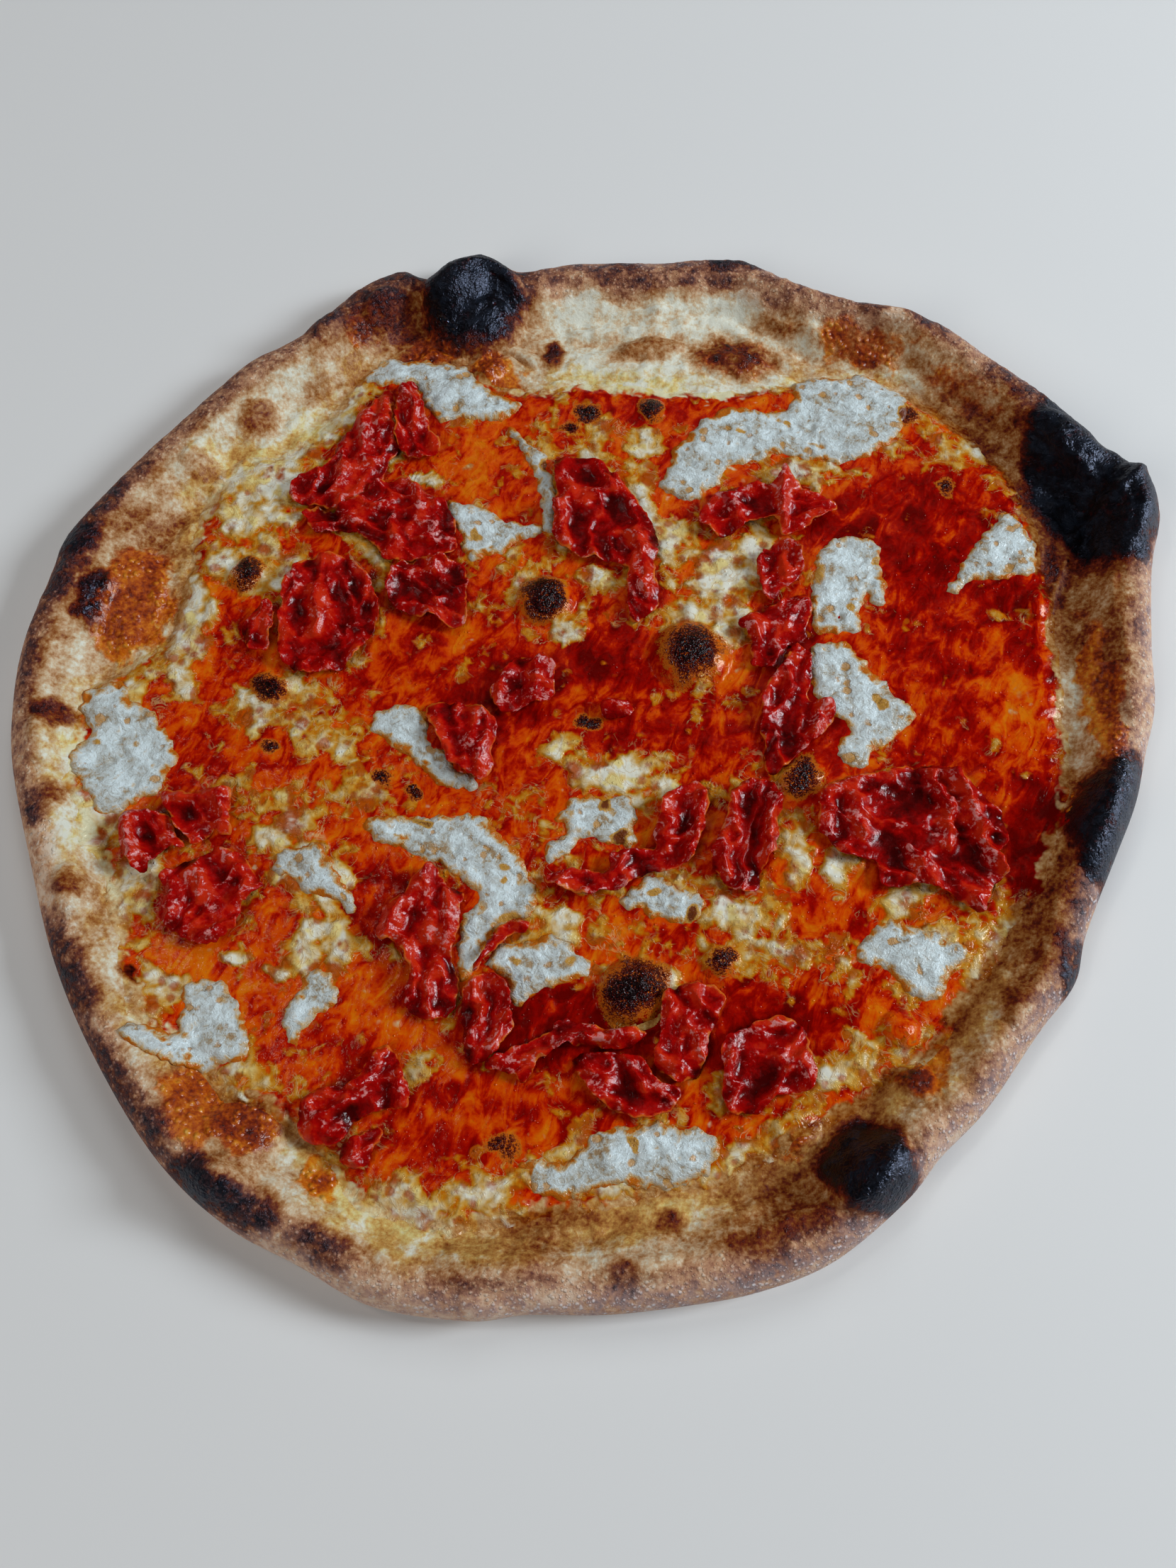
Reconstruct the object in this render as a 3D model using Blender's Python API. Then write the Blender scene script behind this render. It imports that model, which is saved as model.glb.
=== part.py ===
"""A whole round soppressata pizza, uncut, as it lies after baking.

The pieces are the leavened crust, the layer of tomato sauce and melted cheese in its dish, the patches of
fresh mozzarella and the slices of soppressata. Each one is a closed solid that rests on what lies below it.
Plan sizes and places are in millimetres, with +X right, +Y away and the origin under the middle of the pizza.
"""

import math
from collections import namedtuple

import bpy
import numpy as np
from mathutils import Vector, noise
from mathutils.bvhtree import BVHTree
from mathutils.geometry import delaunay_2d_cdt

MM = 0.001  # every size below is in millimetres, and meshes are in metres
REST_GAP = 0.35  # clearance that each piece keeps to the one that it lies on

# ---------------------------------------------------------------- crust
FLOOR = 5.0  # thickness of the baked dough under the sauce
WAIST = 5.6  # height at which the rim is widest
FOOT_INSET = 5.5  # how far in from the waist the flat underside starts
TUCK_INSET = 1.6  # inset of the ring that rounds the underside
CREST_INSET = 9.0  # distance from the edge to the top of the rim
EDGE_SEGMENTS = 128
EDGE_RINGS = (0.9, 3.4, CREST_INSET)  # insets of the rings that round the rim
DOUGH_SPACING = 8.8  # between mesh points on the bare dough
DISH_SPACING = 10.5  # between mesh points under the sauce
BUBBLE_SPACING = 5.2  # least distance of those points from the ones that trace a bubble
RIM_CLEARANCE = 2.5  # least distance of a bubble's points from the rim's last ring
SAUCE_CLEARANCE = 1.8  # least distance of a bubble's points from the edge of the sauce

# Outer edge of the rim, clockwise from the right-hand side.
CRUST_EDGE = (
    (168, 0), (163, -15), (157, -32), (148, -50), (137, -72), (132, -86), (120, -100), (104, -120),
    (90, -133), (80, -144), (60, -159), (40, -166.5), (20, -170), (0, -172), (-20, -172), (-35, -173.5),
    (-60, -170), (-80, -160), (-100, -150), (-120, -133), (-140, -106), (-155, -79), (-166, -50),
    (-176, -20), (-179, 0), (-179, 20), (-174, 45), (-170, 61), (-152, 88), (-140, 103), (-120, 126.5),
    (-103, 138), (-85, 157), (-70, 166), (-60, 163), (-43, 173.5), (-28, 167), (-10, 171), (20, 171),
    (48, 172), (65, 163), (90, 152), (115, 144), (130, 130), (150, 111), (165, 92), (178, 79), (179, 65),
    (174, 47), (170, 20),
)
# Stations round the rim: (angle from +X in degrees, height of its crest, width of its slope).
RIM_STATIONS = (
    (0, 13.5, 25), (20, 17.0, 30), (35, 16.5, 30), (55, 15.0, 27), (75, 13.5, 25), (95, 12.0, 22),
    (108, 15.0, 27), (125, 14.5, 27), (145, 13.5, 26), (165, 14.5, 26), (185, 13.5, 25), (205, 14.0, 26),
    (230, 15.5, 27), (250, 14.5, 24), (270, 12.5, 22), (295, 15.0, 27), (320, 13.5, 25), (345, 16.0, 26),
)
# Gas bubbles: centre, half sizes, turn of the long side in degrees and height above the dough round them.
BUBBLE_FULLNESS = 0.55  # share of the round dome in a bubble's section, the rest being a parabola
WIDE_BUBBLE = 8.0  # a bubble with a longer half size than this is traced by one more ring
WIDE_RINGS = ((0.0, 1), (0.62, 7), (1.02, 10))  # share of the bubble's size, and points round it
SMALL_RINGS = ((0.0, 1), (0.85, 7))
Bubble = namedtuple("Bubble", "x y long wide turn rise")
RIM_BUBBLES = (
    Bubble(-43, 150, 18, 18, 0, 9.5), Bubble(166, 66, 17, 10, 70, 5.0), Bubble(148, 92, 15, 10, -35, 3.0),
    Bubble(147, -39, 20, 12, 68, 4.5), Bubble(70, -137, 13, 12, 0, 7.0), Bubble(-95, -125, 11, 10, 0, 4.0),
    Bubble(-102, -141, 12, 8, 25, 3.5), Bubble(-150, 37, 19, 12, 80, 3.5), Bubble(46, 131, 12, 8, 0, 2.5),
    Bubble(18, 136, 11, 5, 0, 2.0), Bubble(-74, 147, 8, 6, 60, 3.0), Bubble(-94, 140, 7, 6, 0, 2.5),
    Bubble(-113, 103, 9, 6, 50, 2.5), Bubble(-38, 127, 6, 6, 0, 2.5), Bubble(82, -99, 6, 6, 0, 3.0),
    Bubble(84, -113, 5.5, 5.5, 0, 2.5), Bubble(-150, -60, 9, 7, -65, 2.5), Bubble(-166, -12, 9, 6, 85, 2.5),
    Bubble(116, -95, 10, 7, -50, 2.5), Bubble(52, -126, 7, 6, 0, 2.5), Bubble(-30, -160, 14, 7, 0, 2.0),
    Bubble(8, -158, 12, 7, 0, 2.0), Bubble(100, 141, 14, 8, -30, 2.5), Bubble(-130, 84, 9, 7, 55, 2.0),
)
DISH_BUBBLES = (
    Bubble(-17.5, 37, 9.5, 9, 0, 5.0), Bubble(27.5, 17, 12.5, 12, 0, 6.0), Bubble(8, -88, 10, 9.5, 0, 5.5),
    Bubble(-112, 46, 6.5, 5.5, 60, 3.5), Bubble(-101, 6, 7.5, 5, -35, 3.0), Bubble(33, -79, 5.5, 5, 0, 2.5),
    Bubble(59, -23, 7.5, 6, 40, 2.0), Bubble(137, 35, 6, 5, 60, 2.5), Bubble(17, 109, 5, 5, 0, 1.5),
)
LUMPS = 1.1  # swell of the dough's uneven rise
LUMP_LENGTH = 34.0

# ---------------------------------------------------------------- sauce and melted cheese
SAUCE_THICK = 1.7
SAUCE_EDGE_THICK = 0.6
SAUCE_FEATHER = 9.0  # width over which the layer thins out to its edge
SAUCE_SEGMENTS = 76
SAUCE_LUMPS = 0.3  # share by which the thickness comes and goes
SAUCE_LUMP_LENGTH = 17.0
SAUCE_EDGE = (
    (143, 20), (142, -10), (135, -36), (122, -62), (108, -84), (92, -104), (76, -116), (58, -126),
    (38, -137), (10, -144), (-14, -148), (-42, -153), (-68, -143), (-80, -128), (-104, -116), (-128, -96),
    (-138, -72), (-147, -50), (-158, -24), (-160, 2), (-148, 14), (-134, 28), (-132, 60), (-126, 84),
    (-108, 92), (-94, 102), (-86, 118), (-70, 131), (-48, 128), (-30, 119), (0, 122), (34, 113),
    (62, 122), (84, 126), (106, 117), (124, 98), (137, 76), (142, 48),
)

# ---------------------------------------------------------------- toppings
OUTLINE_SPACING = 0.85  # between points on a topping's outline, as a share of those inside it
OUTLINE_CLEARANCE = 0.42  # least distance of the points inside from the outline, as the same share
REST_PITCH = 1.4  # between the places where a topping is tested against what it lies on
REST_MARGIN = 0.45  # how far those places reach past each triangle

# ---------------------------------------------------------------- fresh mozzarella
MOZZARELLA_THICK = 2.5
MOZZARELLA_EDGE = 0.8
MOZZARELLA_FEATHER = 6.0
MOZZARELLA_SPACING = 7.0
MOZZARELLA_LUMPS = 0.5
MOZZARELLA_LUMP_LENGTH = 9.0
MOZZARELLA = (
    ((-80, 125), (-68, 132), (-47, 128), (-38, 118), (-28, 113), (-29, 107), (-41, 104), (-54, 105),
     (-59, 112), (-62, 119), (-73, 120)),
    ((19, 79), (22, 88), (28, 98), (40, 110), (60, 110), (67, 123), (80, 123), (93, 124), (102, 112),
     (97, 98), (80, 88), (60, 91), (42, 85), (31, 74)),
    ((-31, 104), (-19, 91), (-15, 80), (-15, 63), (-19, 64), (-21, 80), (-26, 92)),
    ((-50, 73), (-35, 69), (-19, 62), (-29, 57), (-40, 51), (-46, 61)),
    ((108, 40), (119, 56), (128, 68), (135, 65), (138, 48), (121, 44)),
    ((67, 48), (73, 58), (86, 60), (90, 50), (88, 36), (83, 40), (81, 27), (72, 25), (65, 28)),
    ((63, 19), (76, 22), (85, 10), (94, -3), (83, -14), (75, -20), (71, -13), (74, -7), (66, 0), (65, 10)),
    ((-159, 2), (-150, 9), (-140, 1), (-128, -13), (-130, -25), (-138, -32), (-147, -34), (-154, -26),
     (-158, -17), (-155, -9)),
    ((-70, -3), (-62, 1), (-54, -2), (-50, -13), (-38, -26), (-46, -27), (-58, -17), (-69, -8)),
    ((-70, -37), (-50, -34), (-35, -37), (-27, -44), (-21, -53), (-20, -65), (-31, -70), (-37, -82),
     (-40.5, -86), (-41, -68), (-37, -61), (-46, -51), (-61, -45)),
    ((-34, -80), (-24, -73), (-12, -73), (-4, -81), (-18, -88), (-23, -92), (-29, -84)),
    ((-14, -36), (-8, -29), (0, -29), (8, -31), (10, -43), (7, -46), (-4, -43), (-15, -50), (-18, -47),
     (-11, -41)),
    ((5, -60), (14, -54), (20, -57), (30, -63), (24, -69), (14, -66), (7, -64)),
    ((-116, -85), (-105, -86), (-100, -98), (-100, -107), (-110, -111), (-120, -107), (-130, -103),
     (-129, -97), (-119, -100), (-117, -93)),
    ((-82, -81), (-73, -88), (-81, -97), (-85, -103), (-89, -97), (-85, -88)),
    ((-22, -134), (-10, -133), (1, -125), (17, -124), (31, -128), (24, -139), (0, -141), (-12, -144),
     (-19, -139)),
    ((72, -77), (80, -67), (92, -70), (103, -77), (97, -85), (90, -91), (80, -84)),
    ((-95, -49), (-84, -44), (-76, -52), (-71, -65), (-80, -61), (-91, -55)),
)

# ---------------------------------------------------------------- soppressata
SLICE_THICK = 1.3
SLICE_SPACING = 5.5
CURL_REACH = 5.0  # how far in from its edge a slice curls up
CURL_POWER = 1.5  # how sharply the curl steepens towards the edge

# A fold is a ridge from one point to another: its ends, half width and height. A negative height is a valley.
Fold = namedtuple("Fold", "x0 y0 x1 y1 width height")
# A slice has an outline, the height to which heat curls its edge, and its folds.
Slice = namedtuple("Slice", "outline curl folds")
SLICES = (
    Slice(((-73, 115), (-69.5, 113), (-69, 103), (-67.5, 92), (-71, 87), (-73, 79), (-83, 70.5), (-91, 71),
           (-99, 73), (-99, 80), (-90, 85), (-85, 96), (-80, 105)), 1.6,
          (Fold(-78, 106, -77, 88, 2.6, 3.0), Fold(-71.5, 110, -72.5, 93, 2.4, 2.8),
           Fold(-84, 84, -84, 73, 3.0, 2.4), Fold(-74, 86, -79, 75, 2.4, 2.4))),
    Slice(((-64, 118.5), (-61, 116), (-59.5, 108), (-56.5, 100), (-53, 94), (-54, 89.5), (-60, 88.5),
           (-65.5, 91), (-67.5, 100), (-67.5, 112)), 1.8,
          (Fold(-64, 116, -62, 101, 2.6, 3.2), Fold(-59, 108, -54, 93, 2.2, 2.6))),
    Slice(((-96, 68.5), (-84, 68.5), (-76, 74.5), (-70, 79), (-64, 81), (-57, 76), (-49, 69), (-47, 60),
           (-47, 54), (-56, 51.5), (-68, 50), (-72, 56), (-80, 61), (-90, 61)), 1.4,
          (Fold(-79, 65, -69, 72, 3.0, 3.0), Fold(-66.5, 64, -66, 52, 2.2, 3.0),
           Fold(-60, 79, -58, 66, 2.4, 2.6), Fold(-53, 70, -55, 58, 2.6, 2.2))),
    Slice(((-88.5, 51.5), (-95.5, 49), (-99.5, 43), (-100, 30), (-99.5, 20), (-95, 12), (-86, 10),
           (-78, 14), (-72, 23), (-69.8, 32), (-73, 43), (-80, 50)), 4.2,
          (Fold(-89, 39, -87, 26, 3.2, 3.4), Fold(-95, 45, -94, 38, 2.4, 1.6))),
    Slice(((-103, 34), (-107, 33), (-110.5, 27), (-110.5, 22), (-106, 18), (-102.5, 20), (-102, 27)), 3.0,
          (Fold(-104, 29, -104.5, 22, 1.6, 1.6),)),
    Slice(((-66, 46.5), (-60, 49.5), (-53, 50), (-46, 49), (-42.3, 43), (-42.8, 35), (-41.5, 29),
           (-46, 26.5), (-54, 30), (-63, 33), (-67, 39)), 3.6,
          (Fold(-61, 45, -54, 46, 2.2, 1.8), Fold(-54, 36, -49, 37, 2.0, 1.8))),
    Slice(((-25.5, 16), (-16, 15), (-14.3, 10), (-15.5, 1), (-21, -1.2), (-30, -2.5), (-33.5, 3),
           (-30.5, 10)), 2.4,
          (Fold(-28.5, 12, -32, 3, 2.2, 2.0), Fold(-19, 13, -20.5, 1, 2.4, 3.4))),
    Slice(((-53, -1), (-44, 0.5), (-37, -1.5), (-32, -6), (-33, -14), (-32.5, -21), (-36.5, -25),
           (-42, -22), (-47, -17), (-50, -10)), 2.2,
          (Fold(-38, -3, -39.5, -13, 2.4, 2.6), Fold(-35, -10, -37, -23, 2.0, 3.0))),
    Slice(((-15, 88), (-9, 89), (-1, 87.5), (4, 82), (9, 76), (14, 68), (18, 60), (17, 50), (17.5, 37),
           (14.5, 30.5), (10, 29), (8, 36), (7.5, 47), (0, 50.5), (-8, 52.5), (-14.5, 57), (-15.5, 66),
           (-14.5, 74)), 1.6,
          (Fold(-13, 86, -9, 73, 3.0, 2.4), Fold(-13.5, 70, -12, 56, 2.0, 3.0),
           Fold(-5, 71, 2, 77, 2.6, 2.4), Fold(12, 60, 13.5, 40, 2.6, 3.4))),
    Slice(((31.5, 66), (35, 72.5), (39, 76.5), (47, 77.5), (55, 78.5), (60, 85), (64, 77), (71, 74),
           (76, 70), (70, 66), (64, 62), (58, 59.5), (55, 65), (49, 65.5), (44, 61.5), (36.5, 60)), 2.4,
          (Fold(59, 83, 58, 63, 2.0, 4.2), Fold(42, 74, 44, 64, 2.6, 2.0), Fold(64, 66, 71, 69, 2.0, 2.0))),
    Slice(((58.8, 57), (63, 52.5), (62.5, 45), (58, 40.5), (53.5, 36.8), (50.5, 38.5), (49, 45),
           (50.5, 52.5), (54.5, 55.5)), 2.8,
          (Fold(58.5, 55, 57, 45, 1.8, 2.4),)),
    Slice(((42.3, 28), (48.5, 31), (54, 34), (63, 37.8), (65.3, 34), (63, 24), (60.5, 20.5), (57, 19.5),
           (54, 13.5), (46.2, 13), (45.8, 21)), 1.8,
          (Fold(47, 29, 48.5, 22, 2.6, 2.4), Fold(62, 36, 57, 26, 2.4, 2.4))),
    Slice(((60.5, 19.5), (63.8, 16), (63.8, 8), (62.5, 1.5), (69, -0.5), (69, -5), (64.5, -11), (57.5, -17),
           (52, -22), (48.5, -21), (48.5, -11), (48, -2), (48.5, 3), (54, 11), (58, 17)), 1.8,
          (Fold(54, 11, 48.5, 1, 2.0, 2.8), Fold(59, 15, 56, 5, 2.2, 2.4), Fold(68, -2, 62, -12, 2.2, 3.0))),
    Slice(((-140.5, -37), (-137, -35), (-131, -35.5), (-127, -36.5), (-124.5, -41), (-121.5, -45.5),
           (-127, -47), (-132.5, -53), (-136.5, -50), (-139.5, -45)), 2.4,
          (Fold(-138.7, -37, -135.5, -50, 2.4, 4.0), Fold(-129, -38, -124, -45, 2.0, 2.0))),
    Slice(((-130, -30), (-127.5, -28), (-120, -29.3), (-109.5, -28.5), (-109, -36), (-108, -42.5),
           (-113, -41), (-118, -45), (-122.5, -42), (-125.5, -37)), 2.2,
          (Fold(-111.5, -30, -111, -41, 2.4, 3.4), Fold(-124, -31, -115, -31, 2.0, 2.0))),
    Slice(((-110, -46), (-105, -48.5), (-100, -54), (-97.5, -58), (-103, -64), (-104, -70), (-112, -74.5),
           (-122, -71), (-125.5, -67), (-125, -60), (-126, -54), (-119.5, -50.5), (-114.5, -47.5)), 1.8,
          (Fold(-107, -49, -102, -58, 2.6, 2.4), Fold(-118, -54, -112, -62, 2.6, 2.4),
           Fold(-114, -72, -104, -69, 2.4, 2.6), Fold(-123, -57, -122, -66, 2.2, 2.0),
           Fold(-109, -66, -103, -61, 2.2, 2.0))),
    Slice(((-49.5, -51), (-45.5, -57), (-40, -60.5), (-41.5, -68), (-42, -78), (-41, -87), (-43, -95),
           (-50, -96), (-55, -92), (-54, -82), (-58, -75), (-64, -72.5), (-62.5, -66), (-56, -58)), 1.6,
          (Fold(-51, -54, -50.5, -64, 2.6, 2.6), Fold(-62, -71, -57, -63, 2.8, 2.8),
           Fold(-44.5, -62, -43.5, -76, 2.4, 3.0), Fold(-48.5, -66, -49, -74, 2.2, 2.0),
           Fold(-56, -77, -53, -84, 2.4, 2.6), Fold(-47, -82, -49, -92, 2.4, 2.2))),
    Slice(((27.5, -25.5), (22, -28), (17, -33), (15.3, -40), (15, -46), (9, -47), (3.5, -48), (0.5, -53.5),
           (-10, -53), (-16.5, -55.5), (-10, -59.5), (0, -60), (7.5, -56.5), (14.5, -53), (21, -53),
           (25, -51), (28, -44), (29.3, -37), (31, -31)), 2.0,
          (Fold(30, -31, 25, -50, 1.8, 3.6), Fold(18, -34, 19, -47, 2.4, 2.4), Fold(2, -54, 6, -48, 2.2, 2.2),
           Fold(-14, -57, -5, -59, 2.0, 1.8))),
    Slice(((44.5, -25.5), (38.5, -29), (36.3, -37), (32.5, -45), (31.5, -51), (35, -57), (41.5, -60),
           (45, -57), (45, -53), (49, -48), (51, -41), (52.5, -31), (50, -26)), 2.2,
          (Fold(51, -31, 46, -51, 1.8, 3.4), Fold(33.5, -45, 36, -55, 2.4, 3.0),
           Fold(39, -30, 38, -38, 2.2, 2.4))),
    Slice(((69, -25.5), (80, -22.5), (92, -20.5), (101, -20.5), (106, -24), (112, -30), (117, -37),
           (117, -45), (113.5, -48), (115.5, -54), (111, -59), (108, -65.5), (101, -61), (92, -57),
           (81, -58), (79, -50), (69, -48), (64.5, -42), (62.5, -35), (64.5, -29)), 2.4,
          (Fold(66, -29, 65, -40, 2.6, 3.0), Fold(73, -29, 76, -41, 3.0, 2.6),
           Fold(97, -24, 101, -33, 2.0, 4.4), Fold(104.5, -23, 110, -40, 2.4, 5.0),
           Fold(109, -42, 114, -53, 2.2, 4.0),
           Fold(89, -46, 95, -57, 2.2, 4.2), Fold(86, -37, 96, -48, 3.0, -2.4),
           Fold(101, -35, 100, -45, 2.6, 3.2), Fold(103, -57, 108, -63, 2.4, 2.0))),
    Slice(((-35, -84), (-29.5, -84.5), (-26, -88.5), (-25, -95), (-26.5, -101), (-30, -106), (-35, -108.5),
           (-38.5, -105), (-38.5, -100), (-39.5, -93), (-38, -87)), 1.8,
          (Fold(-36, -85, -36, -91, 1.5, 3.6), Fold(-34, -93, -36.5, -103, 1.5, 3.8),
           Fold(-27, -87, -26, -96, 1.6, 3.0), Fold(-31, -104, -28, -99, 2.0, 2.0))),
    Slice(((-34, -80.5), (-30.5, -76), (-26.5, -72.5), (-22, -70.5), (-21.5, -68.3), (-26, -68.8),
           (-30.5, -71.5), (-34, -76.5), (-36.5, -82), (-35.5, -83.3)), 0.6,
          (Fold(-35, -81, -24, -70, 1.4, 1.0),)),
    Slice(((-32, -109.5), (-27, -105), (-21, -103), (-15, -99.5), (-11, -96.5), (-2, -98.5), (6, -99),
           (11.5, -99.5), (11, -101.5), (3, -104.3), (-7, -103), (-14, -105), (-18, -107.5), (-21.5, -113.5),
           (-24, -111)), 1.2,
          (Fold(-18, -105.5, -6, -101.5, 1.8, 3.4), Fold(-4, -101.5, 8, -101, 1.8, 3.0),
           Fold(-29, -107.5, -21, -107, 2.0, 2.6))),
    Slice(((-8.5, -108), (-4, -105.8), (4, -106), (11, -107), (14.5, -113), (20, -115.5), (19, -119.5),
           (11, -122.5), (3, -121.5), (-2, -116.5)), 1.8,
          (Fold(6, -107, 11, -115, 1.8, 3.0), Fold(-5, -108, 1, -114, 2.4, 1.8))),
    Slice(((16, -91), (21, -87), (29, -86.5), (33, -90), (31.5, -96), (29, -101), (28, -107), (23.5, -112),
           (18, -112.5), (13.5, -106), (15.5, -99)), 1.8,
          (Fold(24, -88, 31, -95, 2.4, 3.0), Fold(18, -92, 26, -101, 2.4, 2.4),
           Fold(15.5, -106, 21, -111, 2.0, 2.6))),
    Slice(((33, -103), (36, -99.8), (43, -97), (50, -96), (56, -99.5), (56.5, -107), (57.8, -112),
           (54, -116), (46, -117.5), (41, -121.5), (34.5, -121.5), (32, -114)), 3.0,
          (Fold(36, -101, 33.5, -112, 2.4, 2.0), Fold(54, -109, 55.5, -115, 2.0, 2.2),
           Fold(44, -101, 50, -108, 3.0, 1.6))),
    Slice(((-80.5, -117.5), (-76, -115), (-69, -114), (-64.5, -109), (-60.5, -103.5), (-57.5, -105.5),
           (-55, -110), (-52.5, -116), (-53.5, -120.5), (-60, -120.5), (-65.5, -122.5), (-69, -127),
           (-74, -130), (-80, -128), (-82, -122)), 2.2,
          (Fold(-79, -119, -78.5, -126, 1.8, 2.8), Fold(-76, -124, -69, -118.5, 2.0, 3.0),
           Fold(-67, -114, -61, -108, 2.0, 2.6), Fold(-56, -110, -55, -119, 2.0, 2.6),
           Fold(-77, -128.5, -71, -125, 1.8, 2.2))),
    Slice(((-69, -129.5), (-64.5, -126.5), (-59.5, -126.5), (-61.5, -130), (-64.5, -135), (-70.5, -134)), 1.8,
          (Fold(-67, -129, -65.5, -134, 1.6, 2.4),)),
    Slice(((1, 0.5), (6, 1), (9.5, -1), (8, -4), (3, -4.5), (0.5, -2.5)), 1.6,
          (Fold(2, -1, 8, -2, 1.6, 1.2),)),
)

# ---------------------------------------------------------------- colours
CRUST_LOOK = ((0.62, 0.40, 0.22), 0.7)
SAUCE_LOOK = ((0.62, 0.12, 0.02), 0.35)
MOZZARELLA_LOOK = ((0.86, 0.84, 0.76), 0.4)
SLICE_LOOK = ((0.42, 0.02, 0.015), 0.25)

# ---------------------------------------------------------------- drawing
FINE_EDGE = 720  # points on the outline from which the rim's radius is read
FINE_OUTLINE = 200  # points on the outline from which a topping's length is measured
CURVE_STEPS = 16  # points between two knots of a curve, before they are spaced evenly
CREASE_ANGLE = 50.0  # degrees past which two faces meet in a sharp edge
NOISE_LEVEL = 3.7  # height at which the noise is read
TINY = 1e-9
MERGE_DISTANCE = 1e-6


def clear_scene():
    for thing in list(bpy.data.objects):
        bpy.data.objects.remove(thing, do_unlink=True)


def material(name, look):
    """A Principled material of one colour and roughness."""
    colour, roughness = look
    made = bpy.data.materials.new(name)
    made.use_nodes = True
    shader = made.node_tree.nodes["Principled BSDF"]
    shader.inputs["Base Color"].default_value = (*colour, 1.0)
    shader.inputs["Roughness"].default_value = roughness
    shader.inputs["Metallic"].default_value = 0.0
    return made


def smooth_loop(points, count):
    """Closed Catmull-Rom curve through the points, as evenly spaced points along it."""
    knots = np.array(points, float)
    before, after, later = (np.roll(knots, shift, axis=0) for shift in (1, -1, -2))
    fine = []
    slope = after - before
    bend = 2 * before - 5 * knots + 4 * after - later
    twist = 3 * knots - before - 3 * after + later
    for t in np.linspace(0.0, 1.0, CURVE_STEPS, endpoint=False):
        fine.append(0.5 * (2 * knots + slope * t + bend * t**2 + twist * t**3))
    fine = np.stack(fine, axis=1).reshape(-1, 2)
    closed = np.vstack([fine, fine[:1]])
    along = np.concatenate([[0.0], np.cumsum(np.linalg.norm(np.diff(closed, axis=0), axis=1))])
    stops = np.linspace(0.0, along[-1], count, endpoint=False)
    return np.column_stack([np.interp(stops, along, closed[:, axis]) for axis in (0, 1)])


def distance_to_loop(points, loop):
    """Distance in plan from each point to the nearest side of a closed loop."""
    points = np.atleast_2d(points)
    starts, sides = loop, np.roll(loop, -1, axis=0) - loop
    offset = points[:, None, :] - starts[None, :, :]
    share = np.clip((offset * sides).sum(-1) / np.maximum((sides**2).sum(-1), TINY), 0.0, 1.0)
    return np.linalg.norm(offset - share[..., None] * sides, axis=-1).min(axis=1)


def inside_loop(points, loop):
    """True for each point that lies inside a closed loop."""
    x, y = points[:, 0:1], points[:, 1:2]
    x0, y0 = loop[:, 0], loop[:, 1]
    x1, y1 = np.roll(x0, -1), np.roll(y0, -1)
    crosses = (y0 > y) != (y1 > y)
    rise = np.where(y1 == y0, TINY, y1 - y0)
    return (crosses & (x < x0 + (y - y0) * (x1 - x0) / rise)).sum(axis=1) % 2 == 1


def hexagonal_points(loop, spacing, clearance):
    """Evenly scattered points inside a loop, none closer to it than the clearance."""
    low, high = loop.min(axis=0), loop.max(axis=0)
    rows = []
    row_step = spacing * math.sqrt(3) / 2
    for row, y in enumerate(np.arange(low[1], high[1], row_step)):
        shift = spacing / 2 if row % 2 else 0.0
        rows += [(x, y) for x in np.arange(low[0] + shift, high[0], spacing)]
    points = np.array(rows, float)
    points = points[inside_loop(points, loop)]
    return points[distance_to_loop(points, loop) > clearance] if len(points) else points


def triangulate(loops, scatter):
    """Plan of triangles inside the first loop, with points on every loop and at the scattered places."""
    points, sides = [], []
    for loop in loops:
        first = len(points)
        points += [Vector(point) for point in loop]
        sides += [(first + i, first + (i + 1) % len(loop)) for i in range(len(loop))]
    points += [Vector(point) for point in scatter]
    inside = 1  # keep the triangles inside the loops
    corners, _, faces, *_ = delaunay_2d_cdt(points, sides, [], inside, MERGE_DISTANCE)
    return np.array([tuple(corner) for corner in corners]), [tuple(face) for face in faces]


def boundary_sides(faces):
    """Sides that belong to one triangle only, in that triangle's own direction."""
    sides = {(face[i], face[(i + 1) % 3]) for face in faces for i in range(3)}
    return [side for side in sides if (side[1], side[0]) not in sides]


def add_object(name, vertices, faces, look_material, collection):
    """Makes a named mesh object from vertices in millimetres."""
    mesh = bpy.data.meshes.new(name)
    mesh.from_pydata([tuple(vertex) for vertex in np.asarray(vertices) * MM], [], faces)
    mesh.materials.append(look_material)
    mesh.shade_smooth()
    mesh.set_sharp_from_angle(angle=math.radians(CREASE_ANGLE))
    made = bpy.data.objects.new(name, mesh)
    collection.objects.link(made)
    return made


def slab(name, plan, faces, low, high, look_material, collection):
    """Closed solid between two heights over one plan of triangles."""
    count = len(plan)
    vertices = np.vstack([np.column_stack([plan, low]), np.column_stack([plan, high])])
    upper = [tuple(count + corner for corner in face) for face in faces]
    lower = [face[::-1] for face in faces]
    walls = []
    for a, b in boundary_sides(faces):
        walls += [(a, b, count + b), (a, count + b, count + a)]
    return add_object(name, vertices, upper + lower + walls, look_material, collection)


# ---------------------------------------------------------------- shape of the dough
def polar(points):
    points = np.atleast_2d(points)
    return np.degrees(np.arctan2(points[:, 1], points[:, 0])) % 360.0, np.hypot(points[:, 0], points[:, 1])


EDGE_LOOP = smooth_loop(CRUST_EDGE, FINE_EDGE)
EDGE_ANGLES, EDGE_RADII = polar(EDGE_LOOP)
EDGE_ORDER = np.argsort(EDGE_ANGLES)


def edge_radius(angles):
    """Distance from the middle of the pizza to its outer edge."""
    return np.interp(angles, EDGE_ANGLES[EDGE_ORDER], EDGE_RADII[EDGE_ORDER], period=360.0)


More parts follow.
